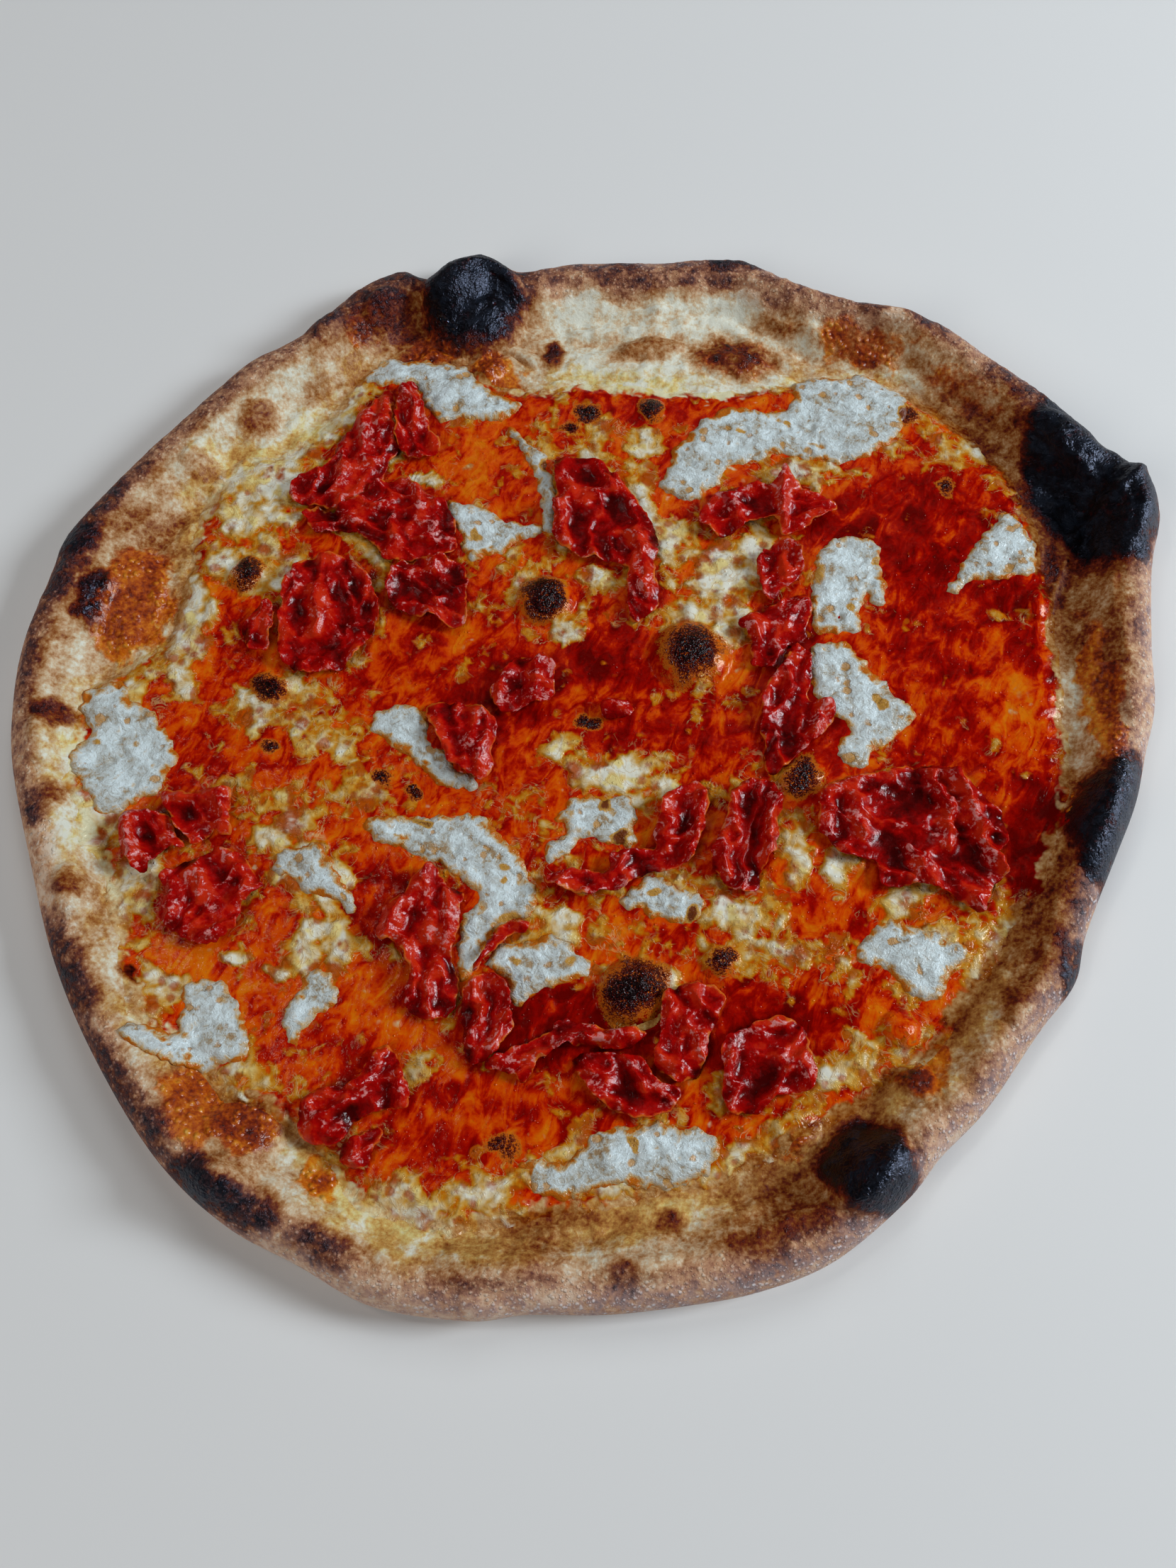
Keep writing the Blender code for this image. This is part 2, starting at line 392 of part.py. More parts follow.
def rim_value(angles, column):
    stations = np.array(RIM_STATIONS, float)
    return np.interp(angles, stations[:, 0], stations[:, column], period=360.0)


def bubble_rise(points, bubble):
    """Height that a gas bubble adds: a dome with a rounded foot."""
    turn = math.radians(bubble.turn)
    x, y = points[:, 0] - bubble.x, points[:, 1] - bubble.y
    across = (x * math.cos(turn) + y * math.sin(turn)) / bubble.long
    along = (-x * math.sin(turn) + y * math.cos(turn)) / bubble.wide
    inner = np.clip(1.0 - across**2 - along**2, 0.0, 1.0)
    return bubble.rise * (BUBBLE_FULLNESS * np.sqrt(inner) + (1.0 - BUBBLE_FULLNESS) * inner)


def lumps(points, length):
    return np.array([noise.noise(Vector((x / length, y / length, NOISE_LEVEL))) for x, y in points])


def dough_top(points):
    """Height of the dough's upper face: flat dish, raised rim and gas bubbles."""
    points = np.atleast_2d(points)
    angles, radii = polar(points)
    inset = np.maximum(edge_radius(angles) - radii, 0.0)
    crest, slope = rim_value(angles, 1), rim_value(angles, 2)
    outer = np.sqrt(np.clip(1.0 - (1.0 - inset / CREST_INSET) ** 2, 0.0, 1.0))
    fall = np.clip((inset - CREST_INSET) / (slope - CREST_INSET), 0.0, 1.0)
    inner = 0.5 + 0.5 * np.cos(math.pi * fall)
    height = np.where(inset < CREST_INSET, WAIST + (crest - WAIST) * outer, FLOOR + (crest - FLOOR) * inner)
    away_from_edge = np.clip(inset / CREST_INSET, 0.0, 1.0)
    height += LUMPS * lumps(points, LUMP_LENGTH) * away_from_edge
    for bubble in RIM_BUBBLES + DISH_BUBBLES:
        height += bubble_rise(points, bubble) * np.sqrt(away_from_edge)
    return height


def bubble_points():
    """Mesh points that trace each bubble: its top, its shoulder and its foot."""
    points = []
    for bubble in RIM_BUBBLES + DISH_BUBBLES:
        turn = math.radians(bubble.turn)
        rings = WIDE_RINGS if bubble.long > WIDE_BUBBLE else SMALL_RINGS
        for share, count in rings:
            for step in range(count):
                angle = 2 * math.pi * step / count
                x, y = share * bubble.long * math.cos(angle), share * bubble.wide * math.sin(angle)
                points.append((bubble.x + x * math.cos(turn) - y * math.sin(turn),
                               bubble.y + x * math.sin(turn) + y * math.cos(turn)))
    return np.array(points)


def thin_out(points, keep_clear_of, clearance):
    """Drops the points that lie too close to others that stay."""
    apart = np.linalg.norm(points[:, None, :] - keep_clear_of[None, :, :], axis=-1).min(axis=1)
    return points[apart > clearance]


def edge_ring(inset):
    angles = np.linspace(0.0, 360.0, EDGE_SEGMENTS, endpoint=False)
    radii = edge_radius(angles) - inset
    return np.column_stack([radii * np.cos(np.radians(angles)), radii * np.sin(np.radians(angles))])


def build_crust(collection):
    """The dough, and the triangles of its dish, which the sauce above it shares."""
    rings = [edge_ring(inset) for inset in (0.0,) + EDGE_RINGS]
    sauce_loop = smooth_loop(SAUCE_EDGE, SAUCE_SEGMENTS)
    traced = bubble_points()
    traced = traced[inside_loop(traced, rings[-1])]
    traced = traced[distance_to_loop(traced, rings[-1]) > RIM_CLEARANCE]
    traced = traced[distance_to_loop(traced, sauce_loop) > SAUCE_CLEARANCE]
    dish = hexagonal_points(sauce_loop, DISH_SPACING, 0.5 * DISH_SPACING)
    dough = hexagonal_points(rings[-1], DOUGH_SPACING, 0.5 * DOUGH_SPACING)
    dough = dough[~inside_loop(dough, sauce_loop)]
    dough = dough[distance_to_loop(dough, sauce_loop) > 0.5 * DOUGH_SPACING]
    filler = thin_out(np.vstack([dish, dough]), traced, BUBBLE_SPACING)
    plan, faces = triangulate(rings + [sauce_loop], np.vstack([traced, filler]))
    top = dough_top(plan)

    waist = len(rings[0])
    foot = [edge_ring(TUCK_INSET), edge_ring(FOOT_INSET)]
    under_plan, under_faces = triangulate([rings[0]] + foot, [])
    under_inset = edge_radius(polar(under_plan)[0]) - polar(under_plan)[1]
    tuck = np.clip(under_inset / FOOT_INSET, 0.0, 1.0)
    under_height = WAIST * (1.0 - np.sqrt(np.clip(1.0 - (1.0 - tuck) ** 2, 0.0, 1.0)))
    under_height[2 * waist:] = 0.0

    shift = len(plan) - waist
    below = np.column_stack([under_plan, under_height])[waist:]
    vertices = np.vstack([np.column_stack([plan, top]), below])
    under = [tuple(corner if corner < waist else corner + shift for corner in face)[::-1] for face in under_faces]
    add_object("crust", vertices, faces + under, material("crust", CRUST_LOOK), collection)

    centres = np.array([plan[list(face)].mean(axis=0) for face in faces])
    in_sauce = inside_loop(centres, sauce_loop)
    kept = [face for face, covered in zip(faces, in_sauce) if covered]
    used = sorted({corner for face in kept for corner in face})
    renumber = {corner: index for index, corner in enumerate(used)}
    return plan[used], [tuple(renumber[corner] for corner in face) for face in kept], top[used]


def build_sauce(dish_plan, dish_faces, dish_top, collection):
    """The layer of sauce and melted cheese, on the same triangles as the dish."""
    loop = smooth_loop(SAUCE_EDGE, SAUCE_SEGMENTS)
    reach = np.clip(distance_to_loop(dish_plan, loop) / SAUCE_FEATHER, 0.0, 1.0)
    thickness = SAUCE_EDGE_THICK + (SAUCE_THICK - SAUCE_EDGE_THICK) * reach
    thickness *= 1.0 + SAUCE_LUMPS * lumps(dish_plan, SAUCE_LUMP_LENGTH)
    low = dish_top + REST_GAP
    return slab("sauce_and_melted_cheese", dish_plan, dish_faces, low, low + thickness,
                material("sauce_and_melted_cheese", SAUCE_LOOK), collection)


# ---------------------------------------------------------------- what lies on the sauce
class Pile:
    """The pieces that are already in place, as seen from above."""

    def __init__(self):
        self.trees = []

    def add(self, thing):
        mesh = thing.data
        corners = [vertex.co.copy() for vertex in mesh.vertices]
        tree = BVHTree.FromPolygons(corners, [tuple(face.vertices) for face in mesh.polygons])
        box = np.array([tuple(corner) for corner in corners])
        self.trees.append((tree, box[:, :2].min(axis=0), box[:, :2].max(axis=0)))

    def height(self, x, y):
        """Height of the topmost piece at a place, in millimetres."""
        start = Vector((x * MM, y * MM, 1.0))
        found = 0.0
        for tree, low, high in self.trees:
            if low[0] <= start.x <= high[0] and low[1] <= start.y <= high[1]:
                hit = tree.ray_cast(start, Vector((0.0, 0.0, -1.0)))[0]
                if hit is not None:
                    found = max(found, hit.z / MM)
        return found


def triangle_samples(corners):
    """Places spread over a triangle, a little wider than it is."""
    middle = corners.mean(axis=0)
    reach = np.linalg.norm(corners - middle, axis=1, keepdims=True)
    wide = middle + (corners - middle) * (1.0 + REST_MARGIN / np.maximum(reach, REST_MARGIN))
    longest = max(np.linalg.norm(wide[i] - wide[i - 1]) for i in range(3))
    steps = max(2, math.ceil(longest / REST_PITCH))
    for i in range(steps + 1):
        for j in range(steps + 1 - i):
            yield (wide[0] * i + wide[1] * j + wide[2] * (steps - i - j)) / steps


def resting_heights(plan, faces, pile):
    """Lowest height at each point that keeps every triangle clear of the pile."""
    heights = np.zeros(len(plan))
    for face in faces:
        top = max(pile.height(x, y) for x, y in triangle_samples(plan[list(face)]))
        for corner in face:
            heights[corner] = max(heights[corner], top)
    return heights + REST_GAP


def topping_plan(outline, spacing):
    loop = smooth_loop(outline, FINE_OUTLINE)
    length = np.linalg.norm(np.roll(loop, -1, axis=0) - loop, axis=1).sum()
    loop = smooth_loop(outline, max(8, round(length / (OUTLINE_SPACING * spacing))))
    plan, faces = triangulate([loop], hexagonal_points(loop, spacing, OUTLINE_CLEARANCE * spacing))
    return plan, faces, distance_to_loop(plan, loop)


def fold_height(points, fold):
    """Height that a fold adds: a ridge with a bell-shaped section."""
    start = np.array((fold.x0, fold.y0), float)
    side = np.array((fold.x1, fold.y1), float) - start
    share = np.clip(((points - start) @ side) / (side @ side), 0.0, 1.0)
    away = np.linalg.norm(points - start - share[:, None] * side, axis=1)
    return fold.height * np.exp(-((away / fold.width) ** 2))


def build_mozzarella(index, outline, pile, look_material, collection):
    plan, faces, depth = topping_plan(outline, MOZZARELLA_SPACING)
    low = resting_heights(plan, faces, pile)
    round_off = np.sqrt(np.clip(1.0 - (1.0 - depth / MOZZARELLA_FEATHER) ** 2, 0.0, 1.0))
    round_off[depth > MOZZARELLA_FEATHER] = 1.0
    thickness = MOZZARELLA_EDGE + (MOZZARELLA_THICK - MOZZARELLA_EDGE) * round_off
    thickness += MOZZARELLA_LUMPS * lumps(plan, MOZZARELLA_LUMP_LENGTH) * round_off
    name = f"mozzarella_{index + 1:02d}"
    return slab(name, plan, faces, low, low + thickness, look_material, collection)


def build_slice(index, cut, pile, look_material, collection):
    plan, faces, depth = topping_plan(cut.outline, SLICE_SPACING)
    lift = cut.curl * np.clip(1.0 - depth / CURL_REACH, 0.0, 1.0) ** CURL_POWER
    for fold in cut.folds:
        lift += fold_height(plan, fold)
    low = resting_heights(plan, faces, pile) + np.maximum(lift, 0.0)
    name = f"soppressata_{index + 1:02d}"
    return slab(name, plan, faces, low, low + SLICE_THICK, look_material, collection)


def main():
    clear_scene()
    pizza = bpy.data.collections.new("soppressata_pizza")
    bpy.context.scene.collection.children.link(pizza)
    dish_plan, dish_faces, dish_top = build_crust(pizza)
    pile = Pile()
    pile.add(bpy.data.objects["crust"])
    pile.add(build_sauce(dish_plan, dish_faces, dish_top, pizza))
    mozzarella = material("mozzarella", MOZZARELLA_LOOK)
    for index, outline in enumerate(MOZZARELLA):
        pile.add(build_mozzarella(index, outline, pile, mozzarella, pizza))
    soppressata = material("soppressata", SLICE_LOOK)
    for index, cut in enumerate(SLICES):
        pile.add(build_slice(index, cut, pile, soppressata, pizza))


main()
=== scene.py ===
"""The looks of a whole soppressata pizza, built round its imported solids.

Every piece repeats the named sizes of the solid that it replaces, on a mesh fine enough for the blisters of
the crust, the strands of the cheese and the creases of the meat. Sizes and places are in millimetres, with +X
right, +Y away and the origin under the middle of the pizza; the meshes, lights and camera are in metres.
"""

import functools
import math
from collections import namedtuple

import bpy
import numpy as np
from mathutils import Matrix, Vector, noise
from mathutils.geometry import delaunay_2d_cdt


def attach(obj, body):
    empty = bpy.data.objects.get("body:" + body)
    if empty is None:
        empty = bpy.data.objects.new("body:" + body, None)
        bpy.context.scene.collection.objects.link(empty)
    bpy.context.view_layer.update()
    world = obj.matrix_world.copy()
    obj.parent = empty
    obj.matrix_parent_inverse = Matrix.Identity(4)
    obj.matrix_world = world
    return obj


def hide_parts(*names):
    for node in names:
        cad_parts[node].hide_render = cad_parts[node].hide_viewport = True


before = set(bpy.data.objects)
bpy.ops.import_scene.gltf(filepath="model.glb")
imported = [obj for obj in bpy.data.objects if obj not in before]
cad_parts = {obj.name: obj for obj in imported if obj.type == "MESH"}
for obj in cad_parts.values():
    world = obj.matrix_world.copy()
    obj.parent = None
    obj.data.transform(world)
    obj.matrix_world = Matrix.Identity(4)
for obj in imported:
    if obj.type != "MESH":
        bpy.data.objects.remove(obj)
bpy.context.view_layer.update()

MM = 0.001

# A spot is an ellipse: its centre, half sizes, turn of its long side in degrees, and an amount.
Spot = namedtuple("Spot", "x y long wide turn amount")
# A fold is a ridge from one point to another: its ends, half width and height. A negative height is a valley.
Fold = namedtuple("Fold", "x0 y0 x1 y1 width height")
# A slice has an outline, the height to which heat curls its edge, and its folds.
Slice = namedtuple("Slice", "outline curl folds")


def spots(*rows):
    return [Spot(*row) for row in rows]


def folds(*rows):
    return [Fold(*row) for row in rows]


# ---------------------------------------------------------------- crust
FLOOR = 5.0  # thickness of the baked dough under the sauce
WAIST = 5.6  # height at which the rim is widest
FOOT_INSET = 5.5  # how far in from the waist the flat underside starts
CREST_INSET = 9.0  # distance from the edge to the top of the rim
CRUST_EDGE = (
    (168, 0), (163, -15), (157, -32), (148, -50), (137, -72), (132, -86), (120, -100), (104, -120),
    (90, -133), (80, -144), (60, -159), (40, -166.5), (20, -170), (0, -172), (-20, -172), (-35, -173.5),
    (-60, -170), (-80, -160), (-100, -150), (-120, -133), (-140, -106), (-155, -79), (-166, -50),
    (-176, -20), (-179, 0), (-179, 20), (-174, 45), (-170, 61), (-152, 88), (-140, 103), (-120, 126.5),
    (-103, 138), (-85, 157), (-70, 166), (-60, 163), (-43, 173.5), (-28, 167), (-10, 171), (20, 171),
    (48, 172), (65, 163), (90, 152), (115, 144), (130, 130), (150, 111), (165, 92), (178, 79), (179, 65),
    (174, 47), (170, 20),
)
# Stations round the rim: (angle from +X in degrees, height of its crest, width of its slope).
RIM_STATIONS = (
    (0, 13.5, 25), (20, 17.0, 30), (35, 16.5, 30), (55, 15.0, 27), (75, 13.5, 25), (95, 12.0, 22),
    (108, 15.0, 27), (125, 14.5, 27), (145, 13.5, 26), (165, 14.5, 26), (185, 13.5, 25), (205, 14.0, 26),
    (230, 15.5, 27), (250, 14.5, 24), (270, 12.5, 22), (295, 15.0, 27), (320, 13.5, 25), (345, 16.0, 26),
)
# Gas bubbles: the amount is the height above the dough round them.
RIM_BUBBLES = spots(
    (-43, 150, 18, 18, 0, 9.5), (166, 66, 17, 10, 70, 5.0), (148, 92, 15, 10, -35, 3.0),
    (147, -39, 20, 12, 68, 4.5), (70, -137, 13, 12, 0, 7.0), (-95, -125, 11, 10, 0, 4.0),
    (-102, -141, 12, 8, 25, 3.5), (-150, 37, 19, 12, 80, 3.5), (46, 131, 12, 8, 0, 2.5),
    (18, 136, 11, 5, 0, 2.0), (-74, 147, 8, 6, 60, 3.0), (-94, 140, 7, 6, 0, 2.5),
    (-113, 103, 9, 6, 50, 2.5), (-38, 127, 6, 6, 0, 2.5), (82, -99, 6, 6, 0, 3.0),
    (84, -113, 5.5, 5.5, 0, 2.5), (-150, -60, 9, 7, -65, 2.5), (-166, -12, 9, 6, 85, 2.5),
    (116, -95, 10, 7, -50, 2.5), (52, -126, 7, 6, 0, 2.5), (-30, -160, 14, 7, 0, 2.0),
    (8, -158, 12, 7, 0, 2.0), (100, 141, 14, 8, -30, 2.5), (-130, 84, 9, 7, 55, 2.0),
)
DISH_BUBBLES = spots(
    (-17.5, 37, 9.5, 9, 0, 5.0), (27.5, 17, 12.5, 12, 0, 6.0), (8, -88, 10, 9.5, 0, 5.5),
    (-112, 46, 6.5, 5.5, 60, 3.5), (-101, 6, 7.5, 5, -35, 3.0), (33, -79, 5.5, 5, 0, 2.5),
    (59, -23, 7.5, 6, 40, 2.0), (137, 35, 6, 5, 60, 2.5), (17, 109, 5, 5, 0, 1.5),
)
LUMPS = 1.1  # swell of the dough's uneven rise
LUMP_LENGTH = 34.0
SWELLING = 0.45  # heights of the bare dough's finer relief
PULLED_RIDGE = 0.95
LARGE_BLISTER = 0.55
SMALL_BLISTER = 0.30
RIDGE_CIRCLE = 155.0  # radius along which the pulled ridges are measured
RIM_COLUMNS = 1300  # mesh columns round the rim
RIM_REACH = 56.0  # how far in from the edge the crust's fine mesh goes
RIM_STEP = 0.98  # how far apart its rings of vertices are
# How far in from the edge the other rings lie: on the underside, over the edge and across the dish.
UNDER_RINGS = (120.0, 60.0, 25.0, 10.0, FOOT_INSET, 4.4, 3.3, 2.2, 1.3, 0.6, 0.2)
EDGE_RINGS = (0.0, 0.2, 0.6, 1.1)
FIRST_FINE_RING = 1.8
DISH_RINGS = (66.0, 80.0, 100.0, 125.0)
UNDERSIDE_BAKE = 0.30

# ---------------------------------------------------------------- soppressata
SLICE_THICK = 1.3
SLICE_SPACING = 0.65  # distance between a slice's vertices
SLICE_WAVES = ((6.0, 0.9), (2.6, 0.55), (1.3, 0.25))  # unevenness of the outline: (length, height)
SLICE_SINK = 0.25  # how far a slice sinks into what it lies on
SLICE_LIFT = 0.2
CURL_REACH = 5.0  # how far in from its edge a slice curls up
FOLD_SHARE = 0.9  # of a fold's height, as creases add the rest
DRAPE = (0.35, 0.85)  # creases are drawn out along a slice more than across it
LARGE_CREASE = 1.8
SMALL_CREASE = 0.10
CREST_RISE = 2.2  # rise from the foot of a fold to its crest
SLICES = (
    Slice(((-73, 115), (-69.5, 113), (-69, 103), (-67.5, 92), (-70, 87), (-71.5, 78), (-81, 68.5),
           (-91, 70), (-99, 73), (-99, 80), (-90, 85), (-85, 96), (-80, 105)),
          1.6, folds((-78, 106, -77, 88, 2.6, 3.0), (-71.5, 110, -72.5, 93, 2.4, 2.8),
                     (-84, 84, -84, 73, 3.0, 2.4), (-74, 86, -79, 75, 2.4, 2.4))),
    Slice(((-64, 118.5), (-61, 116), (-59.5, 108), (-56.5, 100), (-53, 94), (-54, 89.5), (-60, 88.5),
           (-65.5, 91), (-67.5, 100), (-67.5, 112)),
          1.8, folds((-64, 116, -62, 101, 2.6, 3.2), (-59, 108, -54, 93, 2.2, 2.6))),
    Slice(((-96, 68.5), (-84, 68.5), (-76, 74.5), (-70, 79), (-64, 81), (-57, 76), (-49, 69), (-47, 60),
           (-47, 54), (-56, 51.5), (-68, 50), (-72, 56), (-80, 61), (-90, 61)),
          1.4, folds((-79, 65, -69, 72, 3.0, 3.0), (-66.5, 64, -66, 52, 2.2, 3.0),
                     (-60, 79, -58, 66, 2.4, 2.6), (-53, 70, -55, 58, 2.6, 2.2))),
    Slice(((-88.5, 51.5), (-95.5, 49), (-99.5, 43), (-100, 30), (-99.5, 20), (-95, 12), (-86, 10),
           (-78, 14), (-72, 23), (-69.8, 32), (-73, 43), (-80, 50)),
          4.2, folds((-89, 39, -87, 26, 3.2, 3.4), (-95, 45, -94, 38, 2.4, 1.6))),
    Slice(((-103, 34), (-107, 33), (-110.5, 27), (-110.5, 22), (-106, 18), (-102.5, 20), (-102, 27)),
          3.0, folds((-104, 29, -104.5, 22, 1.6, 1.6))),
    Slice(((-66, 46.5), (-60, 49.5), (-53, 50), (-46, 49), (-42.3, 43), (-42.8, 35), (-41.5, 29),
           (-46, 26.5), (-54, 30), (-63, 33), (-67, 39)),
          3.6, folds((-61, 45, -54, 46, 2.2, 1.8), (-54, 36, -49, 37, 2.0, 1.8))),
    Slice(((-25.5, 16), (-16, 15), (-14.3, 10), (-15.5, 1), (-21, -1.2), (-30, -2.5), (-33.5, 3),
           (-30.5, 10)),
          2.4, folds((-28.5, 12, -32, 3, 2.2, 2.0), (-19, 13, -20.5, 1, 2.4, 3.4))),
    Slice(((-53, -1), (-44, 0.5), (-37, -1.5), (-32, -6), (-33, -14), (-32.5, -21), (-36.5, -25),
           (-42, -22), (-47, -17), (-50, -10)),
          2.2, folds((-38, -3, -39.5, -13, 2.4, 2.6), (-35, -10, -37, -23, 2.0, 3.0))),
    Slice(((-15, 88), (-9, 89), (-1, 87.5), (4, 82), (9, 76), (14, 68), (18, 60), (17, 50), (17.5, 37),
           (14.5, 30.5), (10, 29), (8, 36), (7.5, 47), (0, 50.5), (-8, 52.5), (-14.5, 57), (-15.5, 66),
           (-14.5, 74)),
          1.6, folds((-13, 86, -9, 73, 3.0, 2.4), (-13.5, 70, -12, 56, 2.0, 3.0),
                     (-5, 71, 2, 77, 2.6, 2.4), (12, 60, 13.5, 40, 2.6, 3.4))),
    Slice(((31.5, 66), (35, 72.5), (39, 76.5), (47, 77.5), (55, 78.5), (60, 85), (64, 77), (71, 74),
           (76, 70), (70, 66), (64, 62), (58, 59.5), (55, 65), (49, 65.5), (44, 61.5), (36.5, 60)),
          2.4, folds((59, 83, 58, 63, 2.0, 4.2), (42, 74, 44, 64, 2.6, 2.0), (64, 66, 71, 69, 2.0, 2.0))),
    Slice(((58.8, 57), (63, 52.5), (62.5, 45), (58, 40.5), (53.5, 36.8), (50.5, 38.5), (49, 45),
           (50.5, 52.5), (54.5, 55.5)),
          2.8, folds((58.5, 55, 57, 45, 1.8, 2.4))),
    Slice(((42.3, 28), (48.5, 31), (54, 34), (63, 37.8), (65.3, 34), (63, 24), (60.5, 20.5), (57, 19.5),
           (54, 13.5), (46.2, 13), (45.8, 21)),
          1.8, folds((47, 29, 48.5, 22, 2.6, 2.4), (62, 36, 57, 26, 2.4, 2.4))),
    Slice(((60.5, 19.5), (63.8, 16), (63.8, 8), (62.5, 1.5), (69, -0.5), (69, -5), (64.5, -11),
           (57.5, -17), (52, -22), (48.5, -21), (48.5, -11), (48, -2), (48.5, 3), (54, 11), (58, 17)),
          1.8, folds((54, 11, 48.5, 1, 2.0, 2.8), (59, 15, 56, 5, 2.2, 2.4),
                     (68, -2, 62, -12, 2.2, 3.0))),
    Slice(((-140.5, -37), (-137, -35), (-131, -35.5), (-127, -36.5), (-124.5, -41), (-121.5, -45.5),
           (-127, -47), (-132.5, -53), (-136.5, -50), (-139.5, -45)),
          2.4, folds((-138.7, -37, -135.5, -50, 2.4, 4.0), (-129, -38, -124, -45, 2.0, 2.0))),
    Slice(((-130, -30), (-127.5, -28), (-120, -29.3), (-109.5, -28.5), (-109, -36), (-108, -42.5),
           (-113, -41), (-118, -45), (-122.5, -42), (-125.5, -37)),
          2.2, folds((-111.5, -30, -111, -41, 2.4, 3.4), (-124, -31, -115, -31, 2.0, 2.0))),
    Slice(((-110, -46), (-105, -48.5), (-100, -54), (-97.5, -58), (-103, -64), (-104, -70), (-112, -74.5),
           (-122, -71), (-125.5, -67), (-125, -60), (-126, -54), (-119.5, -50.5), (-114.5, -47.5)),
          1.8, folds((-107, -49, -102, -58, 2.6, 2.4), (-118, -54, -112, -62, 2.6, 2.4),
                     (-114, -72, -104, -69, 2.4, 2.6), (-123, -57, -122, -66, 2.2, 2.0),
                     (-109, -66, -103, -61, 2.2, 2.0))),
    Slice(((-49.5, -51), (-45.5, -57), (-40, -60.5), (-41.5, -68), (-42, -78), (-41, -87), (-43, -95),
           (-50, -96), (-55, -92), (-54, -82), (-58, -75), (-64, -72.5), (-62.5, -66), (-56, -58)),
          1.6, folds((-51, -54, -50.5, -64, 2.6, 2.6), (-62, -71, -57, -63, 2.8, 2.8),
                     (-44.5, -62, -43.5, -76, 2.4, 3.0), (-48.5, -66, -49, -74, 2.2, 2.0),
                     (-56, -77, -53, -84, 2.4, 2.6), (-47, -82, -49, -92, 2.4, 2.2))),
    Slice(((27.5, -25.5), (22, -28), (17, -33), (15.3, -40), (15, -46), (9, -47), (3.5, -48),
           (0.5, -53.5), (-10, -53), (-16.5, -55.5), (-10, -59.5), (0, -60), (7.5, -56.5), (14.5, -53),
           (21, -53), (25, -51), (28, -44), (29.3, -37), (31, -31)),
          2.0, folds((30, -31, 25, -50, 1.8, 3.6), (18, -34, 19, -47, 2.4, 2.4),
                     (2, -54, 6, -48, 2.2, 2.2), (-14, -57, -5, -59, 2.0, 1.8))),
    Slice(((44.5, -25.5), (38.5, -29), (36.3, -37), (32.5, -45), (31.5, -51), (35, -57), (41.5, -60),
           (45, -57), (45, -53), (49, -48), (51, -41), (52.5, -31), (50, -26)),
          2.2, folds((51, -31, 46, -51, 1.8, 3.4), (33.5, -45, 36, -55, 2.4, 3.0),
                     (39, -30, 38, -38, 2.2, 2.4))),
    Slice(((69, -25.5), (80, -22.5), (92, -20.5), (101, -20.5), (106, -24), (112, -30), (117, -37),
           (117, -45), (113.5, -48), (115.5, -54), (111, -59), (108, -65.5), (101, -61), (92, -57),
           (81, -58), (79, -50), (69, -48), (64.5, -42), (62.5, -35), (64.5, -29)),
          2.4, folds((66, -29, 65, -40, 2.6, 3.0), (73, -29, 76, -41, 3.0, 2.6),
                     (97, -24, 101, -33, 2.0, 4.4), (104.5, -23, 110, -40, 2.4, 5.0),
                     (109, -42, 114, -53, 2.2, 4.0), (89, -46, 95, -57, 2.2, 4.2),
                     (86, -37, 96, -48, 3.0, -2.4), (101, -35, 100, -45, 2.6, 3.2),
                     (103, -57, 108, -63, 2.4, 2.0))),
    Slice(((-35, -84), (-29.5, -84.5), (-26, -88.5), (-25, -95), (-26.5, -101), (-30, -106),
           (-35, -108.5), (-38.5, -105), (-38.5, -100), (-39.5, -93), (-38, -87)),
          1.8, folds((-36, -85, -36, -91, 1.5, 3.6), (-34, -93, -36.5, -103, 1.5, 3.8),
                     (-27, -87, -26, -96, 1.6, 3.0), (-31, -104, -28, -99, 2.0, 2.0))),
    Slice(((-34, -80.5), (-30.5, -76), (-26.5, -72.5), (-22, -70.5), (-21.5, -68.3), (-26, -68.8),
           (-30.5, -71.5), (-34, -76.5), (-36.5, -82), (-35.5, -83.3)),
          0.6, folds((-35, -81, -24, -70, 1.4, 1.0))),
    Slice(((-32, -109.5), (-27, -105), (-21, -103), (-15, -99.5), (-11, -96.5), (-2, -98.5), (6, -99),
           (11.5, -99.5), (11, -101.5), (3, -104.3), (-7, -103), (-14, -105), (-18, -107.5),
           (-21.5, -113.5), (-24, -111)),
          1.2, folds((-18, -105.5, -6, -101.5, 1.8, 3.4), (-4, -101.5, 8, -101, 1.8, 3.0),
                     (-29, -107.5, -21, -107, 2.0, 2.6))),
    Slice(((-8.5, -108), (-4, -105.8), (4, -106), (11, -107), (14.5, -113), (20, -115.5), (19, -119.5),
           (11, -122.5), (3, -121.5), (-2, -116.5)),
          1.8, folds((6, -107, 11, -115, 1.8, 3.0), (-5, -108, 1, -114, 2.4, 1.8))),
    Slice(((16, -91), (21, -87), (29, -86.5), (33, -90), (31.5, -96), (29, -101), (28, -107),
           (23.5, -112), (18, -112.5), (13.5, -106), (15.5, -99)),
          1.8, folds((24, -88, 31, -95, 2.4, 3.0), (18, -92, 26, -101, 2.4, 2.4),
                     (15.5, -106, 21, -111, 2.0, 2.6))),
    Slice(((33, -103), (36, -99.8), (43, -97), (50, -96), (56, -99.5), (56.5, -107), (57.8, -112),
           (54, -116), (46, -117.5), (41, -121.5), (34.5, -121.5), (32, -114)),
          3.0, folds((36, -101, 33.5, -112, 2.4, 2.0), (54, -109, 55.5, -115, 2.0, 2.2),
                     (44, -101, 50, -108, 3.0, 1.6))),
    Slice(((-80.5, -117.5), (-76, -115), (-69, -114), (-64.5, -109), (-60.5, -103.5), (-57.5, -105.5),
